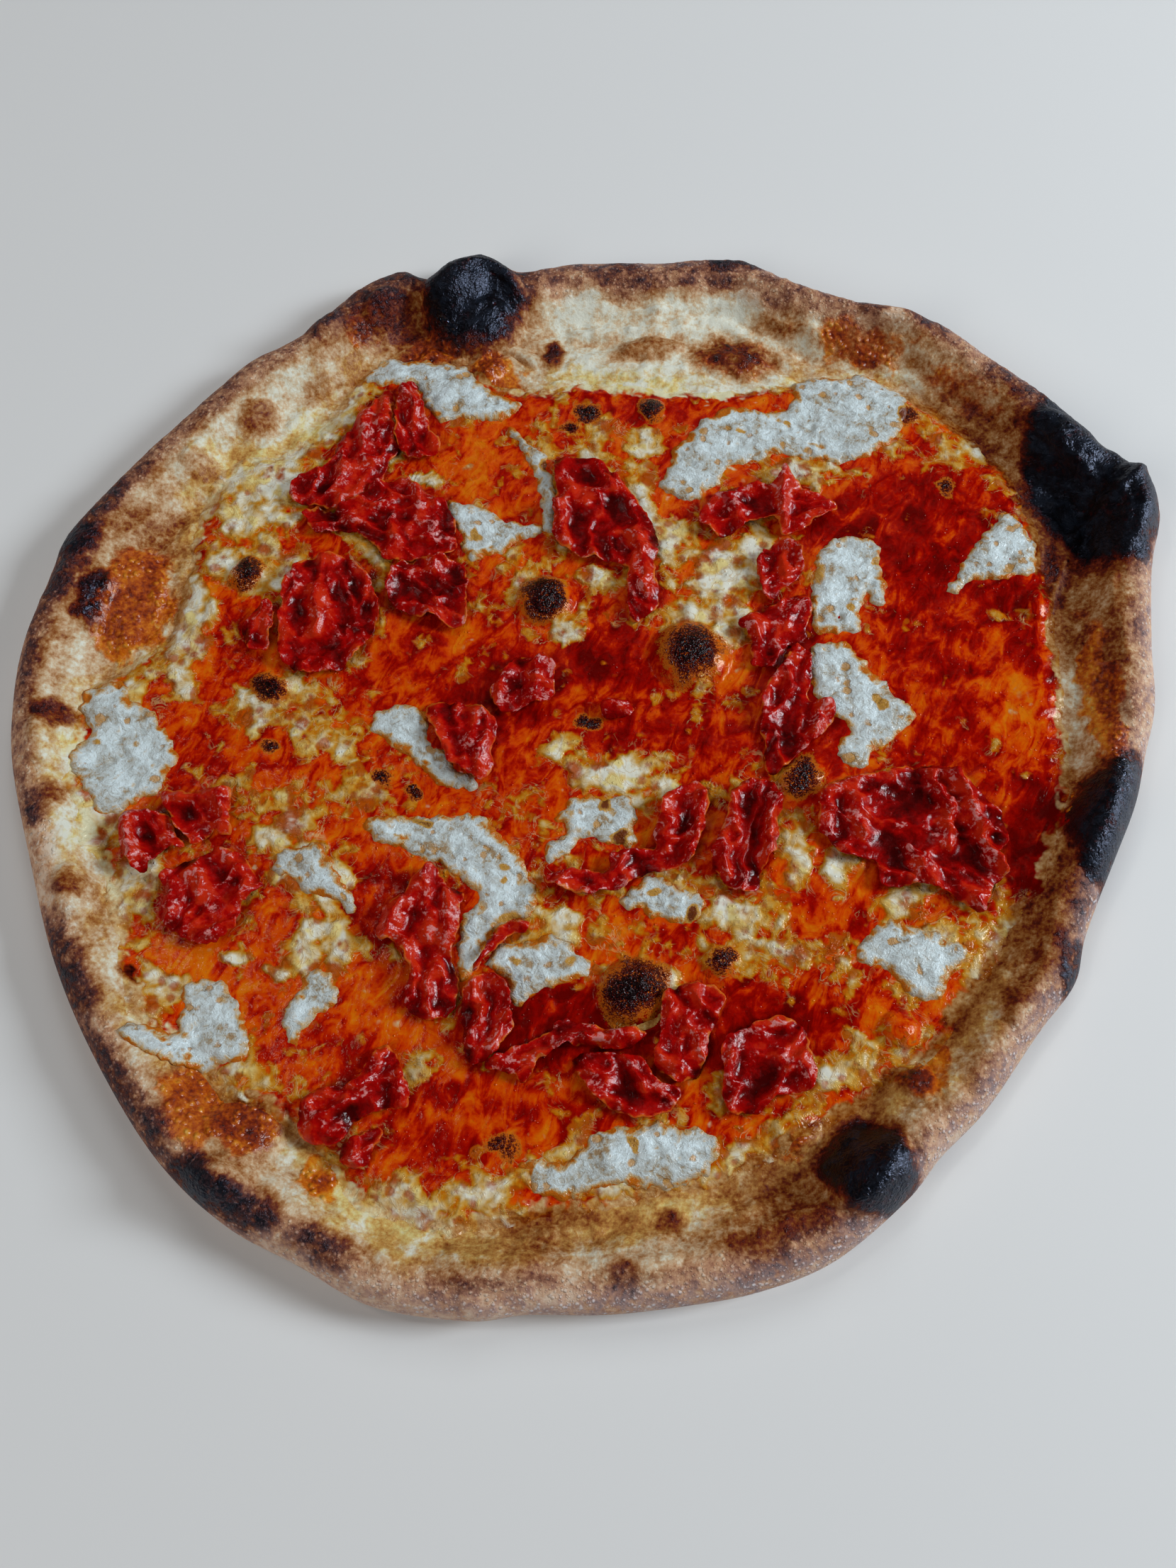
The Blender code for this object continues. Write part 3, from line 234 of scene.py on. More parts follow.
           (-55, -110), (-52.5, -116), (-53.5, -120.5), (-60, -120.5), (-65.5, -122.5), (-69, -127),
           (-74, -130), (-80, -128), (-82, -122)),
          2.2, folds((-79, -119, -78.5, -126, 1.8, 2.8), (-76, -124, -69, -118.5, 2.0, 3.0),
                     (-67, -114, -61, -108, 2.0, 2.6), (-56, -110, -55, -119, 2.0, 2.6),
                     (-77, -128.5, -71, -125, 1.8, 2.2))),
    Slice(((-69, -129.5), (-64.5, -126.5), (-59.5, -126.5), (-61.5, -130), (-64.5, -135), (-70.5, -134)),
          1.8, folds((-67, -129, -65.5, -134, 1.6, 2.4))),
    Slice(((1, 0.5), (6, 1), (9.5, -1), (8, -4), (3, -4.5), (0.5, -2.5)),
          1.6, folds((2, -1, 8, -2, 1.6, 1.2))),
)

# ---------------------------------------------------------------- sauce and melted cheese
REST_GAP = 0.35
SAUCE_THICK = 1.7
SAUCE_EDGE_THICK = 0.6
SAUCE_FEATHER = 9.0  # how far in from its edge the sauce reaches its full thickness
MELTED_THICK = 0.55  # more where melted cheese lies on it
SAUCE_CELLS = 306  # mesh cells from side to side
SAUCE_CENTRE = (-5.0, -10.0)  # from here the whole edge of the sauce can be seen
SAUCE_WAVES = ((13.0, 1.9), (4.5, 1.0))  # unevenness of that edge: (length, height)
SAUCE_SPREAD = 3.0  # how far the layer's edge runs past the solid's
SAUCE_DIP = 0.4  # how far that edge sinks into the dough
SAUCE_BOTTOM = 2.0  # height of the layer's hidden underside
SAUCE_EDGE = (
    (143, 20), (142, -10), (135, -36), (122, -62), (108, -84), (92, -104), (76, -116), (58, -126),
    (38, -137), (10, -144), (-14, -148), (-42, -153), (-68, -143), (-80, -128), (-104, -116), (-128, -96),
    (-138, -72), (-147, -50), (-158, -24), (-160, 2), (-148, 14), (-134, 28), (-132, 60), (-126, 84),
    (-108, 92), (-94, 102), (-86, 118), (-70, 131), (-48, 128), (-30, 119), (0, 122), (34, 118),
    (62, 122), (84, 126), (106, 117), (124, 98), (137, 76), (142, 48),
)

# ---------------------------------------------------------------- fresh mozzarella
MOZZARELLA_THICK = 1.5
MOZZARELLA_LEAST = 0.55  # thickness that is left at an edge or a pit
MOZZARELLA_SINK = 0.8  # how far a patch has melted into what it lies on
MOZZARELLA_FEATHER = 3.5
MOZZARELLA_SPACING = 0.75
MOZZARELLA_WAVES = ((9.0, 1.5), (4.0, 1.2), (1.8, 0.7))
PIT_DEPTH = 0.7
THIN_WIDTH = 4.2  # how far in from its edge a patch is thin enough to see through
MOZZARELLA = (
    ((-80, 125), (-68, 132), (-47, 128), (-38, 118), (-28, 113), (-29, 107), (-41, 104), (-54, 105),
     (-59, 112), (-62, 119), (-73, 120)),
    ((19, 79), (22, 88), (28, 98), (40, 110), (60, 110), (67, 123), (80, 123), (93, 124), (102, 112),
     (97, 98), (80, 88), (60, 91), (42, 85), (31, 74)),
    ((-31, 104), (-19, 91), (-15, 80), (-15, 63), (-19, 64), (-21, 80), (-26, 92)),
    ((-50, 73), (-35, 69), (-19, 62), (-29, 57), (-40, 51), (-46, 61)),
    ((108, 40), (119, 56), (128, 68), (135, 65), (138, 48), (121, 44)),
    ((67, 48), (73, 58), (86, 60), (90, 50), (88, 36), (83, 40), (81, 27), (72, 25), (65, 28)),
    ((63, 19), (76, 22), (85, 10), (94, -3), (83, -14), (75, -20), (71, -13), (74, -7), (66, 0),
     (65, 10)),
    ((-159, 2), (-150, 9), (-140, 1), (-128, -13), (-130, -25), (-138, -32), (-147, -34), (-154, -26),
     (-158, -17), (-155, -9)),
    ((-70, -3), (-62, 1), (-54, -2), (-50, -13), (-38, -26), (-46, -27), (-58, -17), (-69, -8)),
    ((-70, -37), (-50, -34), (-35, -37), (-27, -44), (-21, -53), (-20, -65), (-31, -70), (-37, -82),
     (-40.5, -86), (-41, -68), (-37, -61), (-46, -51), (-61, -45)),
    ((-34, -80), (-24, -73), (-12, -73), (-4, -81), (-18, -88), (-23, -92), (-29, -84)),
    ((-14, -36), (-8, -29), (0, -29), (8, -31), (10, -43), (7, -46), (-4, -43), (-15, -50), (-18, -47),
     (-11, -41)),
    ((5, -60), (14, -54), (20, -57), (30, -63), (24, -69), (14, -66), (7, -64)),
    ((-116, -85), (-105, -86), (-100, -98), (-100, -107), (-110, -111), (-120, -107), (-130, -103),
     (-129, -97), (-119, -100), (-117, -93)),
    ((-82, -81), (-73, -88), (-81, -97), (-85, -103), (-89, -97), (-85, -88)),
    ((-22, -134), (-10, -133), (1, -125), (17, -124), (31, -128), (24, -139), (0, -141), (-12, -144),
     (-19, -139)),
    ((72, -77), (80, -67), (92, -70), (103, -77), (97, -85), (90, -91), (80, -84)),
    ((-95, -49), (-84, -44), (-76, -52), (-71, -65), (-80, -61), (-91, -55)),
)

PILE_HALF = 186.0  # the grid on which toppings are stacked reaches this far from the middle
PILE_PITCH = 0.5

# ---------------------------------------------------------------- view
AIM = (-0.0043, -0.0258, 0.008)  # what the camera looks at, in metres
CAMERA_ELEVATION = 68.0  # degrees above the table
CAMERA_DISTANCE = 0.3986
CAMERA_LENS = 30.92
CAMERA_SENSOR = 36.0
FLOOR_HALF = 1.6
FLOOR_COLOUR = (0.80, 0.80, 0.80, 1.0)
# Square softboxes: name, place, size, power, colour, and whether it shows as a highlight.
LIGHTS = (
    ("window", (1.5, 0.1, 0.85), 0.5, 25.0, (0.86, 0.94, 1.0), True),
    ("lamp", (-0.65, 0.23, 1.33), 0.12, 0.9, (1.0, 0.97, 0.94), True),
    ("sky", (0.2, 1.3, 1.5), 0.9, 8.5, (0.97, 0.99, 1.0), False),
    ("room", (-1.2, -1.1, 1.3), 1.0, 13.0, (1.0, 0.97, 0.93), False),
)
WORLD_COLOUR = (0.85, 0.88, 0.95, 1.0)
WORLD_STRENGTH = 0.02

# ---------------------------------------------------------------- where the heat browned it
# Browning round the rim: (angle from +X in degrees, on the outside and crest, on the slope to the dish).
RIM_BROWNING = (
    (2, 0.32, 0.34), (20, 0.45, 0.55), (38, 0.40, 0.52), (50, 0.40, 0.22), (60, 0.38, 0.12),
    (70, 0.42, 0.06), (80, 0.52, 0.08), (92, 0.52, 0.08), (100, 0.56, 0.16), (112, 0.66, 0.46),
    (122, 0.66, 0.46), (131, 0.40, 0.10), (146, 0.40, 0.18), (158, 0.68, 0.40), (170, 0.68, 0.28),
    (182, 0.38, 0.16), (196, 0.16, 0.08), (210, 0.24, 0.24), (224, 0.25, 0.26), (238, 0.26, 0.24),
    (250, 0.30, 0.18), (265, 0.34, 0.36), (276, 0.36, 0.24), (288, 0.48, 0.50), (298, 0.42, 0.32),
    (310, 0.36, 0.34), (322, 0.38, 0.42), (334, 0.60, 0.52), (345, 0.44, 0.34), (355, 0.34, 0.26),
)
# Where dry flour whitens the outside of the rim, and where painted rim light brightens its right and near
# edges: (angle, amount).
FLOURED_AND_RIM_LIT_EDGE = (
    (0, 0.9), (45, 0.6), (90, 0.5), (110, 0.1), (150, 0.0), (190, 0.1), (225, 0.1), (240, 0.5),
    (255, 0.8), (270, 1.0), (300, 1.0), (320, 1.0), (345, 0.9),
)
# How far in from the edge the rim is dry and matt: (angle, width).
DRY_BAND = (
    (0, 8), (48, 9), (60, 13), (84, 14), (100, 11), (120, 9), (150, 9), (180, 7), (230, 8), (262, 9),
    (290, 7), (335, 6),
)
# Where oil from the cheese has run onto the dough: (angle, amount).
OILED_EDGE = (
    (0, 0.3), (60, 0.4), (80, 0.5), (100, 0.4), (125, 0.6), (150, 0.7), (170, 0.5), (200, 0.4),
    (235, 0.6), (262, 0.8), (285, 0.7), (320, 0.7),
)
# Oil-soaked dough that fried to gold.
GOLDEN_SPOTS = spots(
    (-147, 36, 20, 13, 80, 1.0), (-141, 8, 8, 9, 0, 0.9), (-103, -121, 18, 12, -20, 1.0),
    (88, 134, 18, 7, -20, 0.7), (151, 2, 5, 34, 0, 0.9), (122, 114, 20, 7, -45, 0.5),
    (-36, 125, 10, 9, 0, 0.9), (-56, 136, 12, 8, 20, 0.7), (-80, 139, 8, 7, 0, 0.6),
    (84, -106, 9, 13, 30, 0.9), (46, -129, 14, 7, 15, 0.7), (-120, -84, 12, 8, -40, 0.6),
    (-75, -138, 7, 5, 0, 0.9), (46, 131, 16, 9, 0, 0.5), (-108, 84, 10, 8, 50, 0.5),
)
# Scorches: the amount goes from 0, raw, to 1, black.
RIM_SCORCHES = spots(
    (157, 78, 35, 19, 108, 1.0), (147, -40, 24, 13, 68, 1.0), (70, -136, 14, 13, 0, 1.0),
    (-44, 152, 18, 20, 0, 1.0), (-73, 148, 11, 8, 60, 0.72), (-94, 140, 9, 7, 0, 0.55),
    (-63, 139, 8, 6, 0, 0.5), (-60, 157, 9, 7, 0, 0.6), (46, 132, 15, 8, -8, 0.64),
    (61, 143, 10, 4, -15, 0.42), (16, 135, 15, 5, 12, 0.42), (-17, 134, 5, 4, 0, 0.72),
    (-38, 128, 6, 5, 0, 0.5), (-33, 121, 6, 4, 0, 0.4), (47, 167, 12, 5, 0, 0.8),
    (90, 146, 9, 6, -20, 0.55), (111, 139, 12, 8, -45, 0.62), (2, 168, 42, 6, 0, 0.46),
    (138, 112, 20, 7, -50, 0.6), (-148, 37, 19, 13, 80, 0.42), (-159, 37, 10, 6, 80, 0.82),
    (-166, 55, 14, 9, 75, 0.86), (-176, 30, 16, 4, 85, 0.5), (-165, -4, 8, 5, 0, 0.66),
    (-164, -34, 8, 6, 70, 0.6), (-151, -58, 6, 4, 0, 0.5), (-130, -82, 5, 4, 0, 0.78),
    (-150, -84, 20, 9, -62, 0.68), (-136, -110, 20, 8, -50, 0.66), (-97, -124, 12, 10, 0, 0.52),
    (-103, -142, 15, 7, -35, 0.9), (-91, -148, 9, 6, 0, 0.74), (-75, -138, 5, 4, 0, 0.42),
    (-72, -156, 12, 6, -20, 0.66), (-121, -128, 12, 8, -48, 0.6), (-40, -165, 7, 4, 0, 0.5),
    (5, -163, 6, 5, 0, 0.52), (-16, -152, 6, 4, 0, 0.5), (17, -150, 5, 4, 0, 0.5),
    (-37, -150, 4, 3, 0, 0.42), (50, -150, 15, 6, 25, 0.64), (45, -127, 5, 4, 0, 0.5),
    (55, -123, 6, 4, 0, 0.5), (52, -130, 4, 3, 0, 0.45), (38, -134, 4, 3, 0, 0.45),
    (131, -83, 10, 6, 55, 0.8), (115, -90, 13, 5, 40, 0.52), (82, -99, 7, 6, 0, 0.66),
    (92, -96, 4, 4, 0, 0.6), (84, -113, 5.5, 5, 0, 0.62), (158, 14, 26, 3.5, 88, 0.5),
    (172, 14, 40, 5, 82, 0.4), (138, 35, 5, 4, 60, 0.68), (88, 134, 15, 6, -20, 0.5),
    (-80, 139, 7, 6, 0, 0.62), (-110, -120, 10, 8, 0, 0.42), (152, -2, 32, 4, 90, 0.5),
    (-113, 103, 9, 6, 50, 0.44), (-95, 117, 8, 5, 40, 0.38), (-108, 125, 10, 6, 45, 0.38),
    (-130, 84, 8, 5, 0, 0.4), (-137, 64, 5, 4, 0, 0.4), (-160, 72, 20, 8, 62, 0.52),
    (-135, 104, 30, 7, 50, 0.44), (-174, -18, 30, 5, 100, 0.42), (20, -168, 40, 4, 5, 0.4),
    (110, -112, 24, 5, 55, 0.38),
)
DISH_SCORCHES = spots(
    (-18, 37, 6.4, 6, 0, 1.0), (27.5, 17, 8.2, 7.8, 0, 0.98), (8.5, -88, 7.2, 7, 0, 1.15),
    (-112, 46, 4.6, 3.8, 60, 0.9), (-101, 6, 5.2, 3.5, -35, 0.9), (-65.5, -24, 2.8, 2.4, 0, 0.85),
    (-57, -28, 2.4, 2, 0, 0.85), (60, -23, 5.4, 4.2, 40, 0.95), (33, -79, 3.5, 3, 0, 0.8),
    (-5, 108, 3.2, 2.8, 0, 0.9), (17, 109, 3.4, 3, 0, 1.0), (-10, 102, 2.8, 2.6, 0, 0.8),
    (-4, -6, 2.6, 2.4, 0, 1.0), (112, 79, 3, 2.4, 0, 0.8), (-27, -130, 4, 3, 0, 0.62),
    (102, 107, 4, 3.4, 0, 0.66), (-100, -14, 2.6, 2, 0, 0.7),
)

# ---------------------------------------------------------------- where cheese melted and sauce shows
# The amount is how thick the melted cheese lies there.
CHEESE_POOLS = spots(
    (40, 48, 18, 11, 40, 1.0), (-5, 46, 9, 6, 0, 0.95), (-10, 27, 7, 6, 0, 0.8),
    (14, 68, 10, 5, -60, 0.8), (24, 58, 12, 9, -30, 0.75), (5, 84, 16, 6, -40, 0.6),
    (34, 36, 12, 7, 10, 0.9), (-105, -2, 13, 8, 0, 0.9), (-92, 4, 8, 6, 0, 0.75),
    (-84, -8, 12, 8, 0, 0.55), (6, -20, 18, 7, 5, 0.95), (-14, -14, 9, 6, 30, 0.6),
    (-10, 2, 7, 5, 60, 0.5), (-128, 26, 8, 22, 0, 1.0), (-111, 58, 20, 14, 75, 1.0),
    (-110, 86, 24, 17, 60, 1.0), (-92, 108, 18, 12, 55, 0.95), (-46, -146, 30, 9, 0, 0.75),
    (-84, -55, 13, 9, -30, 0.8), (-88, -30, 26, 8, 5, 0.5), (40, -66, 16, 6, 0, 0.85),
    (22, -60, 12, 8, 0, 0.5), (57, -46, 6, 12, 0, 0.75), (86, -62, 9, 6, 0, 0.7),
    (96, -76, 18, 12, 0, 0.75), (-103, -77, 5, 3, 0, 0.95), (-93, -82, 4, 3, 0, 0.95),
    (-95, -70, 14, 5, 0, 0.45), (48, -78, 26, 9, 0, 0.5), (66, -108, 16, 9, 20, 0.55),
    (-114, -112, 14, 5, -25, 0.8), (-135, -58, 6, 22, -22, 0.8), (-146, 8, 16, 8, 60, 0.7),
    (-150, -36, 10, 15, 0, 1.0), (-80, -76, 13, 10, 0, 0.95), (-92, -42, 15, 7, 0, 0.8),
    (-124, -90, 10, 9, 0, 0.85), (-98, -112, 10, 7, 0, 0.8), (-14, -68, 11, 6, 0, 1.0),
    (14, -84, 8, 7, 0, 0.8), (14, -27, 9, 6, 0, 0.95), (42, 27, 8, 8, 0, 0.9), (44, 56, 9, 7, 0, 0.9),
    (68, 84, 13, 7, 0, 0.85), (70, -54, 7, 8, 0, 0.75), (114, 100, 18, 8, -40, 0.6),
    (98, 24, 4, 12, 0, 0.4), (98, 62, 4, 10, 0, 0.4), (112, -24, 5, 4, 0, 0.7), (-58, 82, 6, 3, 20, 0.8),
    (-76, 57, 4, 14, 35, 0.7), (-100, 48, 7, 8, 0, 0.85), (48, 13, 6, 8, 0, 0.45),
    (-42, 12, 5, 5, 0, 0.5), (0, 98, 30, 9, 0, 0.45), (64, 94, 30, 5, 20, 0.4), (-26, 50, 6, 10, 0, 0.5),
    (-107, -30, 8, 8, 0, 0.45), (2, -72, 10, 8, 0, 0.4), (-45, -108, 20, 5, 0, 0.4),
    (-4, -136, 40, 8, 0, 0.7), (46, -132, 24, 8, 15, 0.6), (-75, 15, 6, 5, 0, 0.35),
    (30, 0, 20, 6, 0, 0.35), (112, -66, 10, 14, 0, 0.35), (-20, 96, 6, 8, 0, 0.6),
)
# Where the sauce lies smooth and bare, from 0, orange with oil, to 1, deep red.
SAUCE_POOLS = spots(
    (112, 20, 34, 56, 0, 0.62), (96, 68, 34, 14, 10, 0.72), (128, -44, 10, 26, -10, 0.85),
    (126, -2, 14, 20, 0, 0.34), (104, 50, 14, 12, 0, 0.80), (98, -4, 12, 10, 0, 0.45),
    (-42, 90, 20, 18, 30, 0.3), (14, 113, 42, 9, 0, 0.5), (-92, -88, 38, 22, 0, 0.35),
    (-34, -124, 34, 14, 0, 0.5), (-112, -10, 20, 14, 0, 0.45), (-50, 14, 26, 18, 0, 0.5),
    (26, -8, 34, 14, 0, 0.55), (66, -64, 14, 12, 0, 0.4), (-116, 20, 12, 22, 0, 0.4),
    (-62, -64, 14, 12, 0, 0.6), (8, -66, 12, 8, 0, 0.35), (-10, -98, 30, 12, 0, 0.85),
    (40, -98, 26, 14, 0, 0.7), (-30, 0, 26, 22, 0, 0.6), (6, 16, 16, 12, 0, 0.8),
    (-92, 58, 14, 12, 0, 0.5), (62, 6, 16, 30, 0, 0.7),
)
# Toasted bubbles on the fresh mozzarella.
CHEESE_SPOTS = spots(
    (-52, -38, 2.2, 1.8, 0, 0.5), (5, -43, 3.2, 2.6, 0, 0.62), (0, -32, 2.4, 2.2, 0, 0.6),
    (102, 107, 4, 3.4, 0, 0.66), (8, -130, 2, 2, 0, 0.45), (25, -65.5, 2.8, 3, 0, 0.62),
    (-29, -52, 1.6, 1.4, 0, 0.4), (-26, -66, 2.4, 1.8, 0, 0.42), (-28, -56, 1.4, 1.4, 0, 0.4),
    (-17, 87, 3, 3, 0, 0.6), (15, -58, 2, 1.4, 0, 0.4), (87, 50, 2, 2, 0, 0.45),
    (79, 35, 1.4, 1.6, 0, 0.4), (70, 46, 2, 4, 0, 0.3), (-40, 61, 1.8, 2.2, 0, 0.4),
    (-10, -80, 2, 1.6, 0, 0.3), (-24, -78, 1.8, 1.4, 0, 0.3), (60, 104, 1.6, 1.4, 0, 0.35),
    (47, 101, 1.4, 1.4, 0, 0.35), (-152, -12, 2, 2, 0, 0.3), (84, 2, 3, 2, 0, 0.4),
)
# Ridges along which the dough was pulled.
DOUGH_RIDGES = folds(
    (-20, 152, 20, 149, 3.5, 1.2), (20, 149, 62, 155, 3.5, 1.5), (62, 155, 104, 140, 4.0, 1.4),
    (-6, 141, 28, 145, 3.0, 1.1), (28, 145, 72, 139, 3.2, 1.2), (-26, 131, 14, 129, 3.0, 1.0),
    (70, 140, 98, 128, 3.0, 1.0), (-134, 88, -104, 122, 4.0, 1.6), (-122, 86, -92, 118, 3.0, 1.2),
    (-16, -151, 36, -147, 3.5, 1.2), (-30, -160, 20, -160, 3.0, 0.8), (62, -128, 98, -98, 3.5, 1.3),
    (100, -112, 122, -84, 3.5, 1.2), (150, 36, 149, -14, 2.4, 0.9), (158, 40, 157, -8, 2.4, 1.4),
    (152, 60, 172, 79, 2.2, 2.4), (146, 92, 160, 70, 3.0, 1.8), (-160, 22, -146, 66, 3.0, 1.0),
)


# ---------------------------------------------------------------- noise
def lattice_hash(column, row, seed):
    """A number from 0 to 1 for each place of a whole-numbered lattice, the same on every run."""
    mixed = (column * 374761393 + row * 668265263 + seed * 144269504) & 0xFFFFFFFF
    mixed = ((mixed ^ (mixed >> 13)) * 1274126177) & 0xFFFFFFFF
    return ((mixed ^ (mixed >> 16)) & 0xFFFFFF) / 0xFFFFFF


def gradient_noise(points, length, seed):
    """Smooth noise from about -1 to 1, whose bumps lie about one length apart."""
    place = points / length + 0.37 * seed
    whole = np.floor(place).astype(np.int64)
    part = place - whole
    ease = part**3 * (part * (part * 6 - 15) + 10)
    total = np.zeros(len(points))
    for column in (0, 1):
        for row in (0, 1):
            angle = 2 * math.pi * lattice_hash(whole[:, 0] + column, whole[:, 1] + row, seed)
            slope = np.cos(angle) * (part[:, 0] - column) + np.sin(angle) * (part[:, 1] - row)
            share_x = ease[:, 0] if column else 1 - ease[:, 0]
            share_y = ease[:, 1] if row else 1 - ease[:, 1]
            total += slope * share_x * share_y
    return 1.6 * total


def fractal_noise(points, length, octaves, seed):
    """Noise with finer noise laid over it, each octave half as long and half as high."""
    total = np.zeros(len(points))
    for octave in range(octaves):
        total += gradient_noise(points, length / 2**octave, seed + 11 * octave) / 2**octave
    return total


def scattered_domes(points, size, share, seed):
    """Round domes of height 1, at about one to a square of the given size, in that share of the squares."""
    place = points / size
    whole = np.floor(place).astype(np.int64)
    height = np.zeros(len(points))
    for column in (-1, 0, 1):
        for row in (-1, 0, 1):
            x, y = whole[:, 0] + column, whole[:, 1] + row
            centre_x = x + 0.15 + 0.7 * lattice_hash(x, y, seed)
            centre_y = y + 0.15 + 0.7 * lattice_hash(x, y, seed + 1)
            radius = 0.22 + 0.26 * lattice_hash(x, y, seed + 2)
            away = np.hypot(place[:, 0] - centre_x, place[:, 1] - centre_y) / radius
            there = lattice_hash(x, y, seed + 3) < share
            height = np.maximum(height, np.where(there, np.clip(1 - away**2, 0, 1), 0))
    return height


def ease_in(value, low, high):
    """Smooth step from 0 at the low value to 1 at the high one."""
    share = np.clip((value - low) / (high - low), 0, 1)
    return share * share * (3 - 2 * share)


# ---------------------------------------------------------------- outlines
def smooth_loop(points, count):
    """Closed Catmull-Rom curve through the points, as evenly spaced points along it."""
    knots = np.array(points, float)
    before, after, later = (np.roll(knots, shift, axis=0) for shift in (1, -1, -2))
    fine = []
    for t in np.linspace(0.0, 1.0, 16, endpoint=False):
        square = (2 * before - 5 * knots + 4 * after - later) * t**2
        cube = (3 * knots - before - 3 * after + later) * t**3
        fine.append(0.5 * (2 * knots + (after - before) * t + square + cube))
    fine = np.stack(fine, axis=1).reshape(-1, 2)
    closed = np.vstack([fine, fine[:1]])
    along = np.concatenate([[0.0], np.cumsum(np.linalg.norm(np.diff(closed, axis=0), axis=1))])
    stops = np.linspace(0.0, along[-1], count, endpoint=False)
    return np.column_stack([np.interp(stops, along, closed[:, axis]) for axis in (0, 1)])


def loop_length(loop):
    return np.linalg.norm(np.roll(loop, -1, axis=0) - loop, axis=1).sum()


def ragged(outline, spacing, waves, seed):
    """The outline as a fine loop, pushed in and out by waves of (length, height)."""
    loop = smooth_loop(outline, round(loop_length(smooth_loop(outline, 400)) / spacing))
    along = np.roll(loop, -1, axis=0) - np.roll(loop, 1, axis=0)
    outward = np.column_stack([along[:, 1], -along[:, 0]]) / np.linalg.norm(along, axis=1)[:, None]
    if signed_area(loop) < 0:
        outward = -outward
    push = np.zeros(len(loop))
    for i, (length, height) in enumerate(waves):
        push += height * gradient_noise(loop, length, seed + 5 * i)
    return loop + outward * push[:, None]


def signed_area(loop):
    after = np.roll(loop, -1, axis=0)
    return 0.5 * (loop[:, 0] * after[:, 1] - loop[:, 1] * after[:, 0]).sum()


def distance_to_loop(points, loop):
    """Distance in plan from each point to the nearest side of a closed loop."""
    sides = np.roll(loop, -1, axis=0) - loop
    nearest = []
    for some in np.array_split(points, max(1, len(points) // 2000)):
        offset = some[:, None, :] - loop[None, :, :]
        share = np.clip((offset * sides).sum(-1) / np.maximum((sides**2).sum(-1), 1e-9), 0.0, 1.0)
        nearest.append(np.linalg.norm(offset - share[..., None] * sides, axis=-1).min(axis=1))
    return np.concatenate(nearest)


def inside_loop(points, loop):
    """True for each point that lies inside a closed loop."""
    x0, y0 = loop[:, 0], loop[:, 1]
    x1, y1 = np.roll(x0, -1), np.roll(y0, -1)
    rise = np.where(y1 == y0, 1e-9, y1 - y0)
    found = []
    for some in np.array_split(points, max(1, len(points) // 4000)):
        x, y = some[:, 0:1], some[:, 1:2]
        crosses = (y0 > y) != (y1 > y)
        found.append((crosses & (x < x0 + (y - y0) * (x1 - x0) / rise)).sum(axis=1) % 2 == 1)
    return np.concatenate(found)


def scattered_points(loop, spacing, seed):
    """Points inside a loop, evenly spread but a little out of line."""
    low, high = loop.min(axis=0), loop.max(axis=0)
    rows = []
    for row, y in enumerate(np.arange(low[1], high[1], spacing * math.sqrt(3) / 2)):
        shift = spacing / 2 if row % 2 else 0.0
        x = np.arange(low[0] + shift, high[0], spacing)
        rows.append(np.column_stack([x, np.full(len(x), y)]))
    points = np.vstack(rows)
    chance = np.random.default_rng(seed)
    points += chance.uniform(-0.18, 0.18, points.shape) * spacing
    points = points[inside_loop(points, loop)]
    return points[distance_to_loop(points, loop) > 0.5 * spacing]


def triangulate(loop, scatter):
    """Plan of triangles inside a loop, with points on it and at the scattered places."""
    points = [Vector(point) for point in np.vstack([loop, scatter]).tolist()]
    sides = [(i, (i + 1) % len(loop)) for i in range(len(loop))]
    inside = 1
    corners, _, faces, *_ = delaunay_2d_cdt(points, sides, [], inside, 1e-6)
    return np.array([tuple(corner) for corner in corners]), np.array([tuple(face) for face in faces])


# ---------------------------------------------------------------- meshes
def add_piece(name, vertices, triangles, fields, look, node):
    """Makes a named piece from vertices in millimetres, which stands for one solid of the frame."""
    mesh = bpy.data.meshes.new(name)
    mesh.from_pydata((vertices * MM).tolist(), [], triangles.tolist())
    mesh.materials.append(look)
    mesh.shade_smooth()
    for field, values in fields.items():
        mesh.attributes.new(field, "FLOAT", "POINT").data.foreach_set("value", values.astype(np.float32))
    piece = bpy.data.objects.new(name, mesh)
    bpy.context.scene.collection.objects.link(piece)
    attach(piece, "root")
    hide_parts(node)


def strip(first, second):
    """Triangles between two closed rings of vertices with the same count."""
    after_first, after_second = np.roll(first, -1), np.roll(second, -1)
    return np.vstack([np.column_stack([first, after_first, after_second]),
                      np.column_stack([first, after_second, second])])


def boundary_sides(triangles):
    """Sides that belong to one triangle only, with the sheet on their left."""
    sides = np.vstack([triangles[:, [0, 1]], triangles[:, [1, 2]], triangles[:, [2, 0]]])
    there = set(map(tuple, sides.tolist()))
    return np.array([side for side in sides.tolist() if (side[1], side[0]) not in there])


